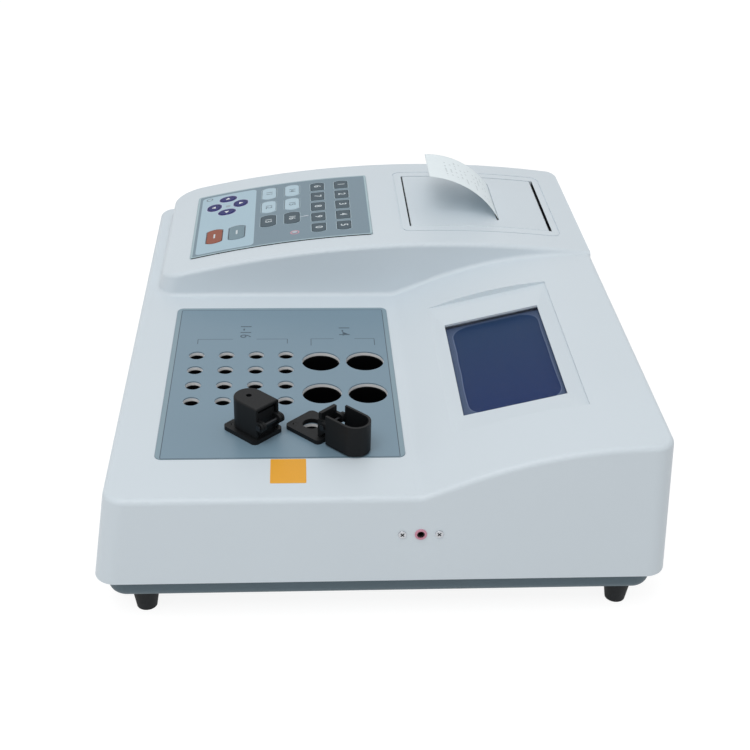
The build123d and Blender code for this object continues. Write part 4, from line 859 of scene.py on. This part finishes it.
class Assembly:
    """Ways to dress CAD nodes and to add pieces that all the sub-assemblies share."""

    def skin(self, node: str, finish: Finish, regions: Sequence[tuple[Finish, FaceTest]] = ()) -> Piece:
        """Puts a merged and smoothly shaded copy in place of a CAD node.

        Args:
            node: The CAD node.
            finish: Its finish.
            regions: Other finishes, each with a test of the faces that take it.

        Returns:
            The copy.
        """
        piece = bpy.data.objects.new(f"{node}_skin", frame["nodes"][node].data.copy())
        bpy.context.scene.collection.objects.link(piece)
        with editing(piece):
            bpy.ops.mesh.select_all(action="SELECT")
            bpy.ops.mesh.customdata_custom_splitnormals_clear()
            bpy.ops.mesh.remove_doubles(threshold=MERGE_DISTANCE)
            bpy.ops.mesh.normals_make_consistent(inside=False)
        only(piece)
        bpy.ops.object.shade_smooth_by_angle(angle=math.radians(SMOOTH_ANGLE))
        finish_modifier(piece, "WEIGHTED_NORMAL", keep_sharp=True, weight=NORMAL_WEIGHT)
        piece.data.materials.clear()
        for each in (finish, *(region[0] for region in regions)):
            piece.data.materials.append(each.material())
        for polygon in piece.data.polygons:
            polygon.material_index = 0
            for number, (_, test) in enumerate(regions, 1):
                if test(polygon.center, polygon.normal):
                    polygon.material_index = number
        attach(piece, BODY_OF[node])
        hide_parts(node)
        log.info("skin of %s: %d faces", node, len(piece.data.polygons))
        return piece

    def dress(self, **finishes: Finish) -> None:
        """Puts a skin of one finish on each CAD node named."""
        for node, finish in finishes.items():
            self.skin(node, finish)

    def add(self, piece: Piece, name: str, node: str, finish: Finish) -> None:
        """Names an added piece, gives it a finish and lets it ride on a node's body.

        Args:
            piece: The finished object at the origin.
            name: Its name.
            node: The CAD node that carries it.
            finish: Its finish.
        """
        piece.name = piece.data.name = name
        piece.data.materials.clear()
        piece.data.materials.append(finish.material())
        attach(piece, BODY_OF[node])
        log.info("piece %s: %d faces", name, len(piece.data.polygons))

    def plate(self, size: Sequence[float], corner: float, height: float) -> Piece:
        """A thin rounded plate that stands on the XY plane, about the origin.

        Args:
            size: Its width and length.
            corner: Radius of its corners.
            height: How thick it is.

        Returns:
            The plate's object.
        """
        piece = begin(bpy.ops.mesh.primitive_cube_add, size=1)
        piece.data.transform(Matrix.Diagonal((*size, height, 1)))
        piece.data.transform(Matrix.Translation((0, 0, height / 2)))
        round_uprights(piece, height, corner, CORNER_FACES)
        return piece

    def figure(self, text: str, size: float, weight: float) -> Piece:
        """Thin figures about the origin, half of them above the XY plane.

        Args:
            text: Plain numbers.
            size: Their height from line to line.
            weight: How far each stroke is thickened.

        Returns:
            The figures' object.
        """
        curve = begin(bpy.ops.object.text_add).data
        curve.body = text
        curve.size = size
        curve.align_x = curve.align_y = "CENTER"
        curve.extrude = INK_HEIGHT / 2
        curve.offset = weight
        curve.resolution_u = TEXT_STEPS
        bpy.ops.object.convert(target="MESH")
        return bpy.context.active_object


@dataclass
class Housing(Assembly):
    """Moulded top housing, its tray, the feet and the screws that hold them together."""

    lip_reach: float = 12.0 * MM
    slit_reach: float = 2.5 * MM

    def build(self) -> None:
        """Dresses the shells and their fasteners."""
        low, high = box("lcd_window")
        lid_low, lid_high = box("printer_lid")

        def is_lip(centre: Vector, normal: Vector) -> bool:
            """True on the low step at the far side of the display's frame, which is painted lighter to hide
            its shade.
            """
            beyond = low.x - centre.x
            beside = low.y - self.lip_reach < centre.y < high.y + self.lip_reach
            return normal.x > FACING and self.lip_reach / 2 < beyond < 2 * self.lip_reach and beside

        def is_slit(centre: Vector, normal: Vector) -> bool:
            """True on the wall behind the lid, which is painted dark as the slit's shade."""
            behind = 0 < centre.y - lid_high.y < self.slit_reach
            return normal.y < -FACING and lid_low.x < centre.x < lid_high.x and behind

        # The wall beyond the display's frame is painted lighter to hide its shade, and the wall behind the
        # lid is painted dark as the slit's shade.
        self.skin("top_housing", Finish.HOUSING, [(Finish.FRAME_LIP, is_lip), (Finish.SEAL, is_slit)])
        self.dress(
            base_tray=Finish.TRAY,
            rubber_feet=Finish.RUBBER,
            foot_screws=Finish.STEEL,
            case_screws=Finish.STEEL,
        )


@dataclass
class Deck(Assembly):
    """Printed deck sheet with its numbers, the bare sticker and the heated blocks under the wells."""

    number_size: float = 9.0 * MM
    number_weight: float = 0.06 * MM
    number_x: float = 8.5 * MM
    sample_number_y: float = -72.3 * MM
    reagent_number_y: float = -14.7 * MM
    label_at: Pair = (154.45 * MM, -46.85 * MM)
    label: Pair = (21.1 * MM, 17.7 * MM)
    label_height: float = 0.12 * MM
    label_corner: float = 0.6 * MM
    deck_drop: float = 0.3 * MM

    def build(self) -> None:
        """Dresses the sheet and the blocks and adds the numbers and the sticker."""
        self.dress(
            deck_panel=Finish.DECK_FILM,
            incubator_block=Finish.ANODISED,
            optics_block=Finish.ANODISED,
            heater_mat=Finish.SILICONE,
            measuring_leds=Finish.RESIN,
            photodiodes=Finish.RESIN,
            block_posts=Finish.BRASS,
        )
        top = box("deck_panel")[1].z
        for name, text, y in (
            ("sample_numbers", "1-16", self.sample_number_y),
            ("reagent_numbers", "1-4", self.reagent_number_y),
        ):
            piece = self.figure(text, self.number_size, self.number_weight)
            settle(piece, Matrix.Translation((self.number_x, y, top + INK_HEIGHT / 2)))
            self.add(piece, name, "deck_panel", Finish.LEGEND_DARK)
        self._label(top - self.deck_drop)

    def _label(self, deck_z: float) -> None:
        """The bare amber sticker in front of the sheet, on the deck."""
        piece = self.plate(self.label, self.label_corner, self.label_height)
        settle(piece, Matrix.Translation((*self.label_at, deck_z)))
        self.add(piece, "amber_sticker", "top_housing", Finish.AMBER)


@dataclass
class Channels(Assembly):
    """The two measuring channels: bases, hinged caps, pins and screws."""

    def build(self) -> None:
        """Dresses both channels."""
        for number in (1, 2):
            self.skin(f"channel_base_{number}", Finish.BLACK)
            self.skin(f"channel_cap_{number}", Finish.BLACK)
            self.skin(f"hinge_pin_{number}", Finish.PIN_STEEL)
        self.skin("channel_screws", Finish.BLACK)


@dataclass
class Hump:
    """The cylinder that the housing's hump is bent along."""

    radius: float = 671.5 * MM
    crown_reach: float = 95.6 * MM

    def centre(self) -> tuple[float, float]:
        """Y and Z of the cylinder's axis."""
        high = box("top_housing")[1]
        return high.y - self.crown_reach, high.z - self.radius

    def place(self, x: float, y: float, lift: float) -> Matrix:
        """A frame on the hump, with its Z along the normal and its X along the hump's axis.

        Args:
            x: X of the point.
            y: Y of the point.
            lift: How far it stands off the hump.

        Returns:
            The frame as a matrix.
        """
        centre_y, centre_z = self.centre()
        lean = math.asin((y - centre_y) / self.radius)
        out = Vector((0, math.sin(lean), math.cos(lean)))
        ahead = Vector((0, out.z, -out.y))
        spot = Vector((x, centre_y, centre_z)) + out * (self.radius + lift)
        rows = ((1, ahead.x, out.x, spot.x), (0, ahead.y, out.y, spot.y), (0, ahead.z, out.z, spot.z))
        return Matrix((*rows, (0, 0, 0, 1)))


@dataclass
class Keypad(Assembly):
    """Overlay, keys with their figures, arrows and bars, and the indicator lenses."""

    hump: Hump = field(default_factory=Hump)
    key_proud: float = 0.7 * MM
    film_proud: float = 0.5 * MM
    outline: float = 0.4 * MM
    digit_size: float = 6.6 * MM
    pair_size: float = 6.0 * MM
    digit_weight: float = 0.09 * MM
    bar: Pair = (6.0 * MM, 1.1 * MM)
    bar_corner: float = 0.3 * MM
    arrow_radius: float = 1.9 * MM
    arrow_corner: float = 0.25 * MM
    arrow_corner_faces: int = 3
    lens_share: float = 1.3
    lens_corner_share: float = 0.6
    lamp_corner: float = 0.4 * MM
    lens_height: float = 0.25 * MM
    # Each row of figures: its letter, its number of keys and the first key's number.
    figures: tuple[tuple[str, int, int], ...] = (("d", 5, 1), ("c", 5, 6), ("a", 3, 11), ("b", 3, 14))
    arrows: tuple[tuple[str, float], ...] = (("up", 90.0), ("left", 180.0), ("down", 270.0), ("right", 0.0))

    def build(self) -> None:
        """Dresses the overlay and the keys."""
        self._film()
        self.skin("keypad_circuit", Finish.MEMBRANE)
        for node in [name for name in frame["nodes"] if name.startswith("key_")]:
            self.skin(node, self._colour(node))
        for row, count, first in self.figures:
            for number in range(count):
                self._number(f"key_{row}{number + 1}", row, first + number)
        for way, turn in self.arrows:
            self._arrow(f"key_arrow_{way}", turn)
        for node in ("key_red", "key_grey"):
            piece = self.plate(self.bar, self.bar_corner, INK_HEIGHT)
            self._on_key(piece, node, f"{node}_bar", Finish.LEGEND_PALE)
        self._lenses()

    @staticmethod
    def _colour(node: str) -> Finish:
        """A key's finish."""
        if "arrow" in node:
            return Finish.KEY_NAVY
        if node in ("key_a1", "key_a2", "key_b1", "key_b2"):
            return Finish.KEY_LIGHT
        return {"key_red": Finish.KEY_RED, "key_grey": Finish.KEY_GREY}.get(node, Finish.KEY_DARK)

    def _film(self) -> None:
        """The overlay, with an outline around each of its openings and its near edge painted dark as the
        shade of the film's step.
        """
        near = box("keypad_overlay")[1].x - PRINT_SOFTNESS
        regions = [(Finish.FILM_EDGE, lambda centre, _: centre.x > near)]
        piece = self.skin("keypad_overlay", Finish.KEYPAD_FILM, regions)
        with editing(piece):
            with edited(piece) as mesh:
                for face in mesh.faces:
                    face.select_set(face.normal.z > FACING)
                mesh.select_flush_mode()
            bpy.ops.mesh.inset(thickness=self.outline, depth=0)
            bpy.ops.mesh.select_all(action="INVERT")
            with edited(piece) as mesh:
                for face in mesh.faces:
                    if face.select and face.normal.z > FACING:
                        face.material_index = len(regions) + 1
        piece.data.materials.append(Finish.KEYPAD_OUTLINE.material())

    def _on_key(self, piece: Piece, node: str, name: str, finish: Finish) -> None:
        """Lays a flat piece on the middle of a key's top."""
        settle(piece, self.hump.place(*middle_of(node)[:2], self.key_proud + INK_HEIGHT / 2))
        self.add(piece, name, node, finish)

    def _number(self, node: str, row: str, number: int) -> None:
        """The plain number on a key, where a row of single figures shows 10 as 0."""
        ink = Finish.LEGEND_SLATE if self._colour(node) is Finish.KEY_LIGHT else Finish.LEGEND_PALE
        single = row in "cd"
        text = str(number % 10 if single else number)
        piece = self.figure(text, self.digit_size if single else self.pair_size, self.digit_weight)
        self._on_key(piece, node, f"{node}_figure", ink)

    def _arrow(self, node: str, turn: float) -> None:
        """A white triangle on an arrow key that points away from the middle of the four."""
        piece = begin(
            bpy.ops.mesh.primitive_cylinder_add, vertices=3, radius=self.arrow_radius, depth=INK_HEIGHT
        )
        piece.data.transform(Matrix.Rotation(math.radians(turn), 4, "Z"))
        round_uprights(piece, INK_HEIGHT, self.arrow_corner, self.arrow_corner_faces)
        self._on_key(piece, node, f"{node}_mark", Finish.LEGEND_WHITE)

    def _lenses(self) -> None:
        """The round lens inside the pink ring and the small lamp window beside the keys."""
        film = Finish.KEYPAD_FILM.value
        width = film.ring_radius * self.lens_share
        lens_corner = film.ring_radius * self.lens_corner_share
        for size, corner, spot, name in (
            ((width, width), lens_corner, film.ring_at, "ready_lens"),
            ([2 * half for half in film.lamp_half], self.lamp_corner, film.lamp_at, "lamp_lens"),
        ):
            piece = self.plate(size, corner, self.lens_height)
            settle(piece, self.hump.place(*spot, self.film_proud))
            self.add(piece, name, "keypad_overlay", Finish.GLASS_LENS)


@dataclass
class DisplaySize:
    """Where the display's face is, worked out from its window."""

    view: Pair = (100.5 * MM, 54.9 * MM)
    thickness: float = 1.5 * MM

    def tilt(self) -> float:
        """The window's lean from level, in radians."""
        low, high = box("lcd_window")
        rise, run = high.z - low.z, high.y - low.y
        return math.atan2(rise, run) - math.asin(self.thickness / math.hypot(rise, run))


@dataclass
class Display(Assembly):
    """Window, display module and its board."""

    size: DisplaySize = field(default_factory=DisplaySize)

    def build(self) -> None:
        """Dresses the display's pieces."""
        tilt, middle_x = self.size.tilt(), middle_of("lcd_window")[0]
        out = Vector((0, -math.sin(tilt), math.cos(tilt)))

        def is_face(centre: Vector, normal: Vector) -> bool:
            """True on the sunk glass of the module."""
            inside = abs(centre.x - middle_x) < self.size.view[0] / 2
            return inside and normal.dot(out) > SQUARE_ON

        self.skin("lcd_module", Finish.BEZEL, [(Finish.DISPLAY, is_face)])
        self.dress(lcd_window=Finish.WINDOW, lcd_board=Finish.CIRCUIT)


@dataclass
class Printer(Assembly):
    """Thermal printer: lid, mechanism, roll and the paper that comes out of the slot."""

    hump: Hump = field(default_factory=Hump)
    sleeve: Pair = (-30.5 * MM, 30.5 * MM)
    sleeve_core: float = 2.6 * MM
    gear: Pair = (31.5 * MM, 36.5 * MM)
    gear_core: float = 2.1 * MM
    # Where the dark strip of painted shade sits in the front slit.
    seal_drop: float = 0.35 * MM
    seal_height: float = 0.3 * MM
    seal_ends: float = 0.6 * MM
    slit: float = 0.9 * MM
    width: float = 57.5 * MM
    root_drop: float = 0.8 * MM
    # The paper's lean at the slot, in degrees, and the radius of its curl, at either edge.
    far_curl: Pair = (56.0, 51.5 * MM)
    near_curl: Pair = (61.4, 57.2 * MM)
    sweep: float = 57.4
    slot_from_lid_back: float = 31.3 * MM
    ripple: float = 0.18 * MM
    ripple_turns: Pair = (5 * math.pi, 3.0)
    tooth: float = 0.9 * MM
    torn_from: float = 0.999
    sheet: float = 0.12 * MM
    columns: int = 52
    rows: int = 60

    def build(self) -> None:
        """Dresses the mechanism and makes the paper."""
        self.dress(
            printer_lid=Finish.LID,
            printer_chassis=Finish.CHASSIS,
            print_head=Finish.CERAMIC,
            paper_roll=Finish.ROLL,
        )
        self._platen()
        self._paper()
        self._seal()

    def _platen(self) -> None:
        """The roller: rubber sleeve, nylon gear and steel shaft."""
        _, axis_y, axis_z = middle_of("platen_roller")
        middle_x = middle_of("paper_roll")[0]

        def off_axis(centre: Vector) -> float:
            """A point's distance from the roller's axis."""
            return math.hypot(centre.y - axis_y, centre.z - axis_z)

        def around(span: Pair, core: float) -> FaceTest:
            """A test of faces farther from the axis than core, between two places along it."""
            return lambda centre, _: span[0] < centre.x - middle_x < span[1] and off_axis(centre) > core

        sleeve, gear = around(self.sleeve, self.sleeve_core), around(self.gear, self.gear_core)
        self.skin("platen_roller", Finish.STEEL, [(Finish.PLATEN, sleeve), (Finish.GEAR, gear)])

    def _seal(self) -> None:
        """A dark strip just under the surface in the slit in front of the lid, painted shade for the slit.
        """
        low, high = box("printer_lid")
        size = (high.x - low.x - 2 * self.seal_ends, self.slit)
        piece = self.plate(size, self.slit / 3, self.seal_height)
        lift = -self.seal_drop - self.seal_height
        settle(piece, self.hump.place(middle_of("printer_lid")[0], low.y - self.slit / 2, lift))
        self.add(piece, "lid_slit_shade", "top_housing", Finish.SEAL)

    def _curve(self, across: float, along: float) -> Vector:
        """A point of the paper.

        Args:
            across: From 0 at the far edge to 1 at the near one.
            along: From 0 at the slot to 1 at the torn end.

        Returns:
            The point.
        """
        slot_y = box("printer_lid")[1].y - self.slot_from_lid_back
        centre_y, centre_z = self.hump.centre()
        root_z = centre_z + math.sqrt(self.hump.radius**2 - (slot_y - centre_y) ** 2) - self.root_drop
        turn = math.radians(self.sweep) * along
        ends = []
        for lean, radius in (self.far_curl, self.near_curl):
            angle = math.radians(lean)
            ahead, aside = radius * math.sin(turn), radius * (1 - math.cos(turn))
            y = slot_y - ahead * math.cos(angle) - aside * math.sin(angle)
            ends.append((y, root_z + ahead * math.sin(angle) - aside * math.cos(angle)))
        y, z = (far + (near - far) * across for far, near in zip(*ends))
        turns = self.ripple_turns[0] * across + self.ripple_turns[1] * along
        ripple = self.ripple * math.sin(turns) * along
        return Vector((middle_of("paper_roll")[0] + (across - 0.5) * self.width, y, z + ripple))

    def _paper(self) -> None:
        """The curled strip with its saw-toothed torn end."""
        grid = bpy.ops.mesh.primitive_grid_add
        piece = begin(grid, x_subdivisions=self.columns, y_subdivisions=self.rows, size=1)
        for vertex in piece.data.vertices:
            across, along = vertex.co.x + 0.5, vertex.co.y + 0.5
            if along > self.torn_from:
                along -= self.tooth / self.near_curl[1] * (round(across * self.columns) % 2)
            vertex.co = self._curve(across, along)
        only(piece)
        bpy.ops.object.shade_smooth()
        finish_modifier(piece, "SOLIDIFY", thickness=self.sheet, offset=0.0)
        self.add(piece, "paper_ribbon", "paper_strip", Finish.PAPER)
        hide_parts("paper_strip")


@dataclass
class Connectors(Assembly):
    """Jack in the side, and the inlet, its switch and the serial port at the back."""

    cross_length: float = 2.4 * MM
    cross_width: float = 0.6 * MM
    mark_size: float = 4.0 * MM
    mark_weight: float = 0.7 * MM
    mark_share: float = 0.25
    ring_sides: int = 40
    pins_from_middle: float = -9.5 * MM
    pin_depth: Pair = (2.5 * MM, 15.2 * MM)
    middle_pin_half: float = 1.2 * MM
    middle_pin_level: Pair = (-0.5 * MM, 4.4 * MM)
    outer_pin_beside: Pair = (5.8 * MM, 8.2 * MM)
    outer_pin_drop: float = 0.3 * MM
    outer_pin_half: float = 2.6 * MM

    def build(self) -> None:
        """Dresses the connectors and adds dark crosses of painted shade for the screws' cross recesses, and
        the switch's marks.
        """
        self.dress(jack_ring=Finish.JACK_RING, jack_socket=Finish.JACK_BODY, jack_screws=Finish.STEEL)
        self._crosses()
        self.skin("power_inlet", Finish.INLET, [(Finish.NICKEL, self._is_contact)])
        self.skin("power_switch", Finish.ROCKER)
        self._rocker_marks()
        self.skin("serial_port", Finish.NICKEL)

    def _is_contact(self, centre: Vector, _: Vector) -> bool:
        """True on the inlet's three pins."""
        middle_x, _, middle_z = middle_of("power_inlet")
        depth = box("power_inlet")[1].y - centre.y
        beside = abs(centre.x - (middle_x + self.pins_from_middle))
        level = centre.z - middle_z
        bottom, top = self.middle_pin_level
        middle_pin = beside < self.middle_pin_half and bottom < level < top
        inner, outer = self.outer_pin_beside
        outer_pin = inner < beside < outer and abs(level + self.outer_pin_drop) < self.outer_pin_half
        return self.pin_depth[0] < depth < self.pin_depth[1] and (middle_pin or outer_pin)

    def _rocker_marks(self) -> None:
        """A bar on the upper half of the rocker and a ring on the lower one."""
        low, high = box("power_switch")
        middle_x, _, middle_z = middle_of("power_switch")
        tops = [face for face in frame["nodes"]["power_switch"].data.polygons if face.normal.y > FACING]
        for name, is_upper in (("off", False), ("on", True)):
            half = [face for face in tops if (face.center.z > middle_z) is is_upper]
            face = max(half, key=lambda polygon: polygon.area)
            out = face.normal.copy()
            across = Vector((1, 0, 0))
            up = out.cross(across)
            share = self.mark_share if is_upper else -self.mark_share
            reach = (middle_z + share * (high.z - low.z) - face.center.z) / up.z
            spot = Vector((middle_x, face.center.y, face.center.z)) + up * reach + out * INK_HEIGHT / 2
            turn = Matrix((across, up, out)).transposed().to_4x4()
            bar = (self.mark_weight, self.mark_size)
            piece = self.plate(bar, self.mark_weight / 3, INK_HEIGHT) if is_upper else self._ring()
            settle(piece, Matrix.Translation(spot) @ turn)
            self.add(piece, f"switch_{name}_mark", "power_switch", Finish.LEGEND_WHITE)

    def _ring(self) -> Piece:
        """A ring on the XY plane."""
        circle = bpy.ops.mesh.primitive_circle_add
        piece = begin(circle, vertices=self.ring_sides, radius=self.mark_size / 2, fill_type="NGON")
        with editing(piece):
            bpy.ops.mesh.select_all(action="SELECT")
            bpy.ops.mesh.inset(thickness=self.mark_weight, depth=0)
            bpy.ops.mesh.delete(type="FACE")
            bpy.ops.mesh.select_all(action="SELECT")
            bpy.ops.mesh.extrude_region_move(TRANSFORM_OT_translate={"value": (0, 0, INK_HEIGHT)})
        return piece

    def _crosses(self) -> None:
        """A dark cross on each of the two screws beside the jack, painted shade that stands for its cross
        recess.
        """
        low, high = box("jack_screws")
        reach = (high.z - low.z) / 2
        face = Matrix.Rotation(math.pi / 2, 4, "Y")
        for side, y in (("front", low.y + reach), ("back", high.y - reach)):
            place = Matrix.Translation((high.x - INK_HEIGHT, y, middle_of("jack_screws")[2])) @ face
            for bar, turn in (("a", math.pi / 4), ("b", -math.pi / 4)):
                piece = self.plate((self.cross_length, self.cross_width), self.cross_width / 4, INK_HEIGHT)
                settle(piece, place @ Matrix.Rotation(turn, 4, "Z"))
                self.add(piece, f"screw_{side}_cross_{bar}", "jack_screws", Finish.RECESS)


@dataclass
class Electronics(Assembly):
    """The main board and the power supply on the tray."""

    board: float = 1.6 * MM
    clear: float = 0.1 * MM

    def build(self) -> None:
        """Dresses the boards and what stands on them."""
        for node in ("main_board", "power_supply"):
            top = box(node)[0].z + self.board + self.clear
            self.skin(node, Finish.CIRCUIT, [(Finish.CHIP, lambda centre, _, top=top: centre.z > top)])


@dataclass(frozen=True)
class Lamp:
    """A soft rectangular lamp: its place, what it points at, its sides and its power in watts."""

    name: str
    place: Triple
    target: Triple
    size: float
    power: float

    def build(self) -> None:
        """Hangs the lamp."""
        data = bpy.data.lights.new(self.name, "AREA")
        data.shape = "RECTANGLE"
        data.size = data.size_y = self.size
        data.energy = self.power
        aim = Vector(self.target) - Vector(self.place)
        hang(data, Matrix.Translation(self.place) @ aim.to_track_quat("-Z", "Y").to_matrix().to_4x4())


@dataclass
class Studio:
    """Floor, lamps, world and the camera at the photograph's angle."""

    eye: Triple = (701.89 * MM, -42.06 * MM, 444.45 * MM)
    yaw: float = 3.843
    pitch: float = 29.891
    roll: float = 1.511
    focal_pixels: float = 1334.53
    picture: float = 750.0
    sensor: float = 36.0
    far_clip: float = 50.0
    floor_half: float = 9.0
    floor_grey: float = 0.86
    floor_roughness: float = 0.9
    world_light: float = 0.5
    floor_glow: float = 1.17
    floor_share: float = 0.76
    white: tuple[float, ...] = (1.0,) * 4
    lamps: tuple[Lamp, ...] = (
        Lamp("Overhead softbox", (-0.1, 0.1, 1.5), (0, 0, 0.08), 1.5, 3.8),
        Lamp("Near fill", (0.85, -0.4, 1.65), (0, 0, 0.05), 1.0, 13.0),
    )

    def build(self) -> None:
        """Sets up everything that isn't part of the object."""
        self._camera()
        self._world()
        self._floor()
        for lamp in self.lamps:
            lamp.build()
        bpy.context.scene.view_settings.view_transform = "Standard"

    def _camera(self) -> None:
        """The camera, from its measured place and angles."""
        yaw, pitch, roll = (math.radians(angle) for angle in (self.yaw, self.pitch, self.roll))
        level_reach = math.cos(pitch)
        ahead = Vector((-math.cos(yaw) * level_reach, math.sin(yaw) * level_reach, -math.sin(pitch)))
        level = ahead.cross(Vector((0, 0, 1))).normalized()
        above = level.cross(ahead)
        right = math.cos(roll) * level + math.sin(roll) * above
        up = math.cos(roll) * above - math.sin(roll) * level
        data = bpy.data.cameras.new("Photograph camera")
        data.sensor_width = self.sensor
        data.lens = self.focal_pixels / self.picture * self.sensor
        data.clip_end = self.far_clip
        turn = Matrix((right, up, -ahead)).transposed().to_4x4()
        bpy.context.scene.camera = hang(data, Matrix.Translation(self.eye) @ turn)

    def _glow(self, owner: Owner, lit: str, kind: str, strength: float, share: float) -> bpy.types.Node:
        """Shows white to rays that come straight from the camera, or by way of gloss or glass.

        Args:
            owner: The world or the floor's material.
            lit: Name of its shader that lights, or is lit.
            kind: Type of the shader that is shown instead.
            strength: How bright that is.
            share: How much of it is shown.

        Returns:
            The shader that lights, or is lit.
        """
        graph = Graph(owner)
        plain = graph.tree.nodes[lit]
        shown = graph.node(kind, {}, {"Color": self.white, "Strength": strength})
        ray = graph.node("ShaderNodeLightPath", output="Is Camera Ray")
        others = ray.socket.node.outputs
        for name in ("Is Glossy Ray", "Is Transmission Ray"):
            ray = ray.most(Signal(graph, others[name]))
        sides = {0: ray * share, 1: Signal(graph, plain.outputs[0]), 2: shown}
        mixed = graph.node("ShaderNodeMixShader", {}, sides)
        end = next(node for node in graph.tree.nodes if node.name.endswith("Output"))
        graph.feed(end.inputs["Surface"], mixed)
        return plain

    def _world(self) -> None:
        """Plain light from all round, seen as white."""
        world = bpy.data.worlds.new("Studio")
        bpy.context.scene.world = world
        lit = self._glow(world, "Background", "ShaderNodeBackground", 1.0, 1.0)
        lit.inputs["Color"].default_value = self.white
        lit.inputs["Strength"].default_value = self.world_light

    def _floor(self) -> None:
        """A pale floor that is seen as nearly white and keeps the object's shadow."""
        floor = begin(bpy.ops.mesh.primitive_plane_add, size=2 * self.floor_half)
        floor.name = "Studio floor"
        material = bpy.data.materials.new("Studio floor")
        kind = "ShaderNodeEmission"
        lit = self._glow(material, "Principled BSDF", kind, self.floor_glow, self.floor_share)
        lit.inputs["Base Color"].default_value = (*(self.floor_grey,) * 3, 1)
        lit.inputs["Roughness"].default_value = self.floor_roughness
        floor.data.materials.append(material)


def main() -> None:
    """Builds the sub-assemblies in order and sets the studio."""
    logging.basicConfig(level=logging.INFO, format="%(message)s")
    for assembly in (
        Housing(),
        Deck(),
        Channels(),
        Keypad(),
        Display(),
        Printer(),
        Connectors(),
        Electronics(),
        Studio(),
    ):
        assembly.build()
        log.info("%s done", type(assembly).__name__)


if __name__ == "__main__":
    main()
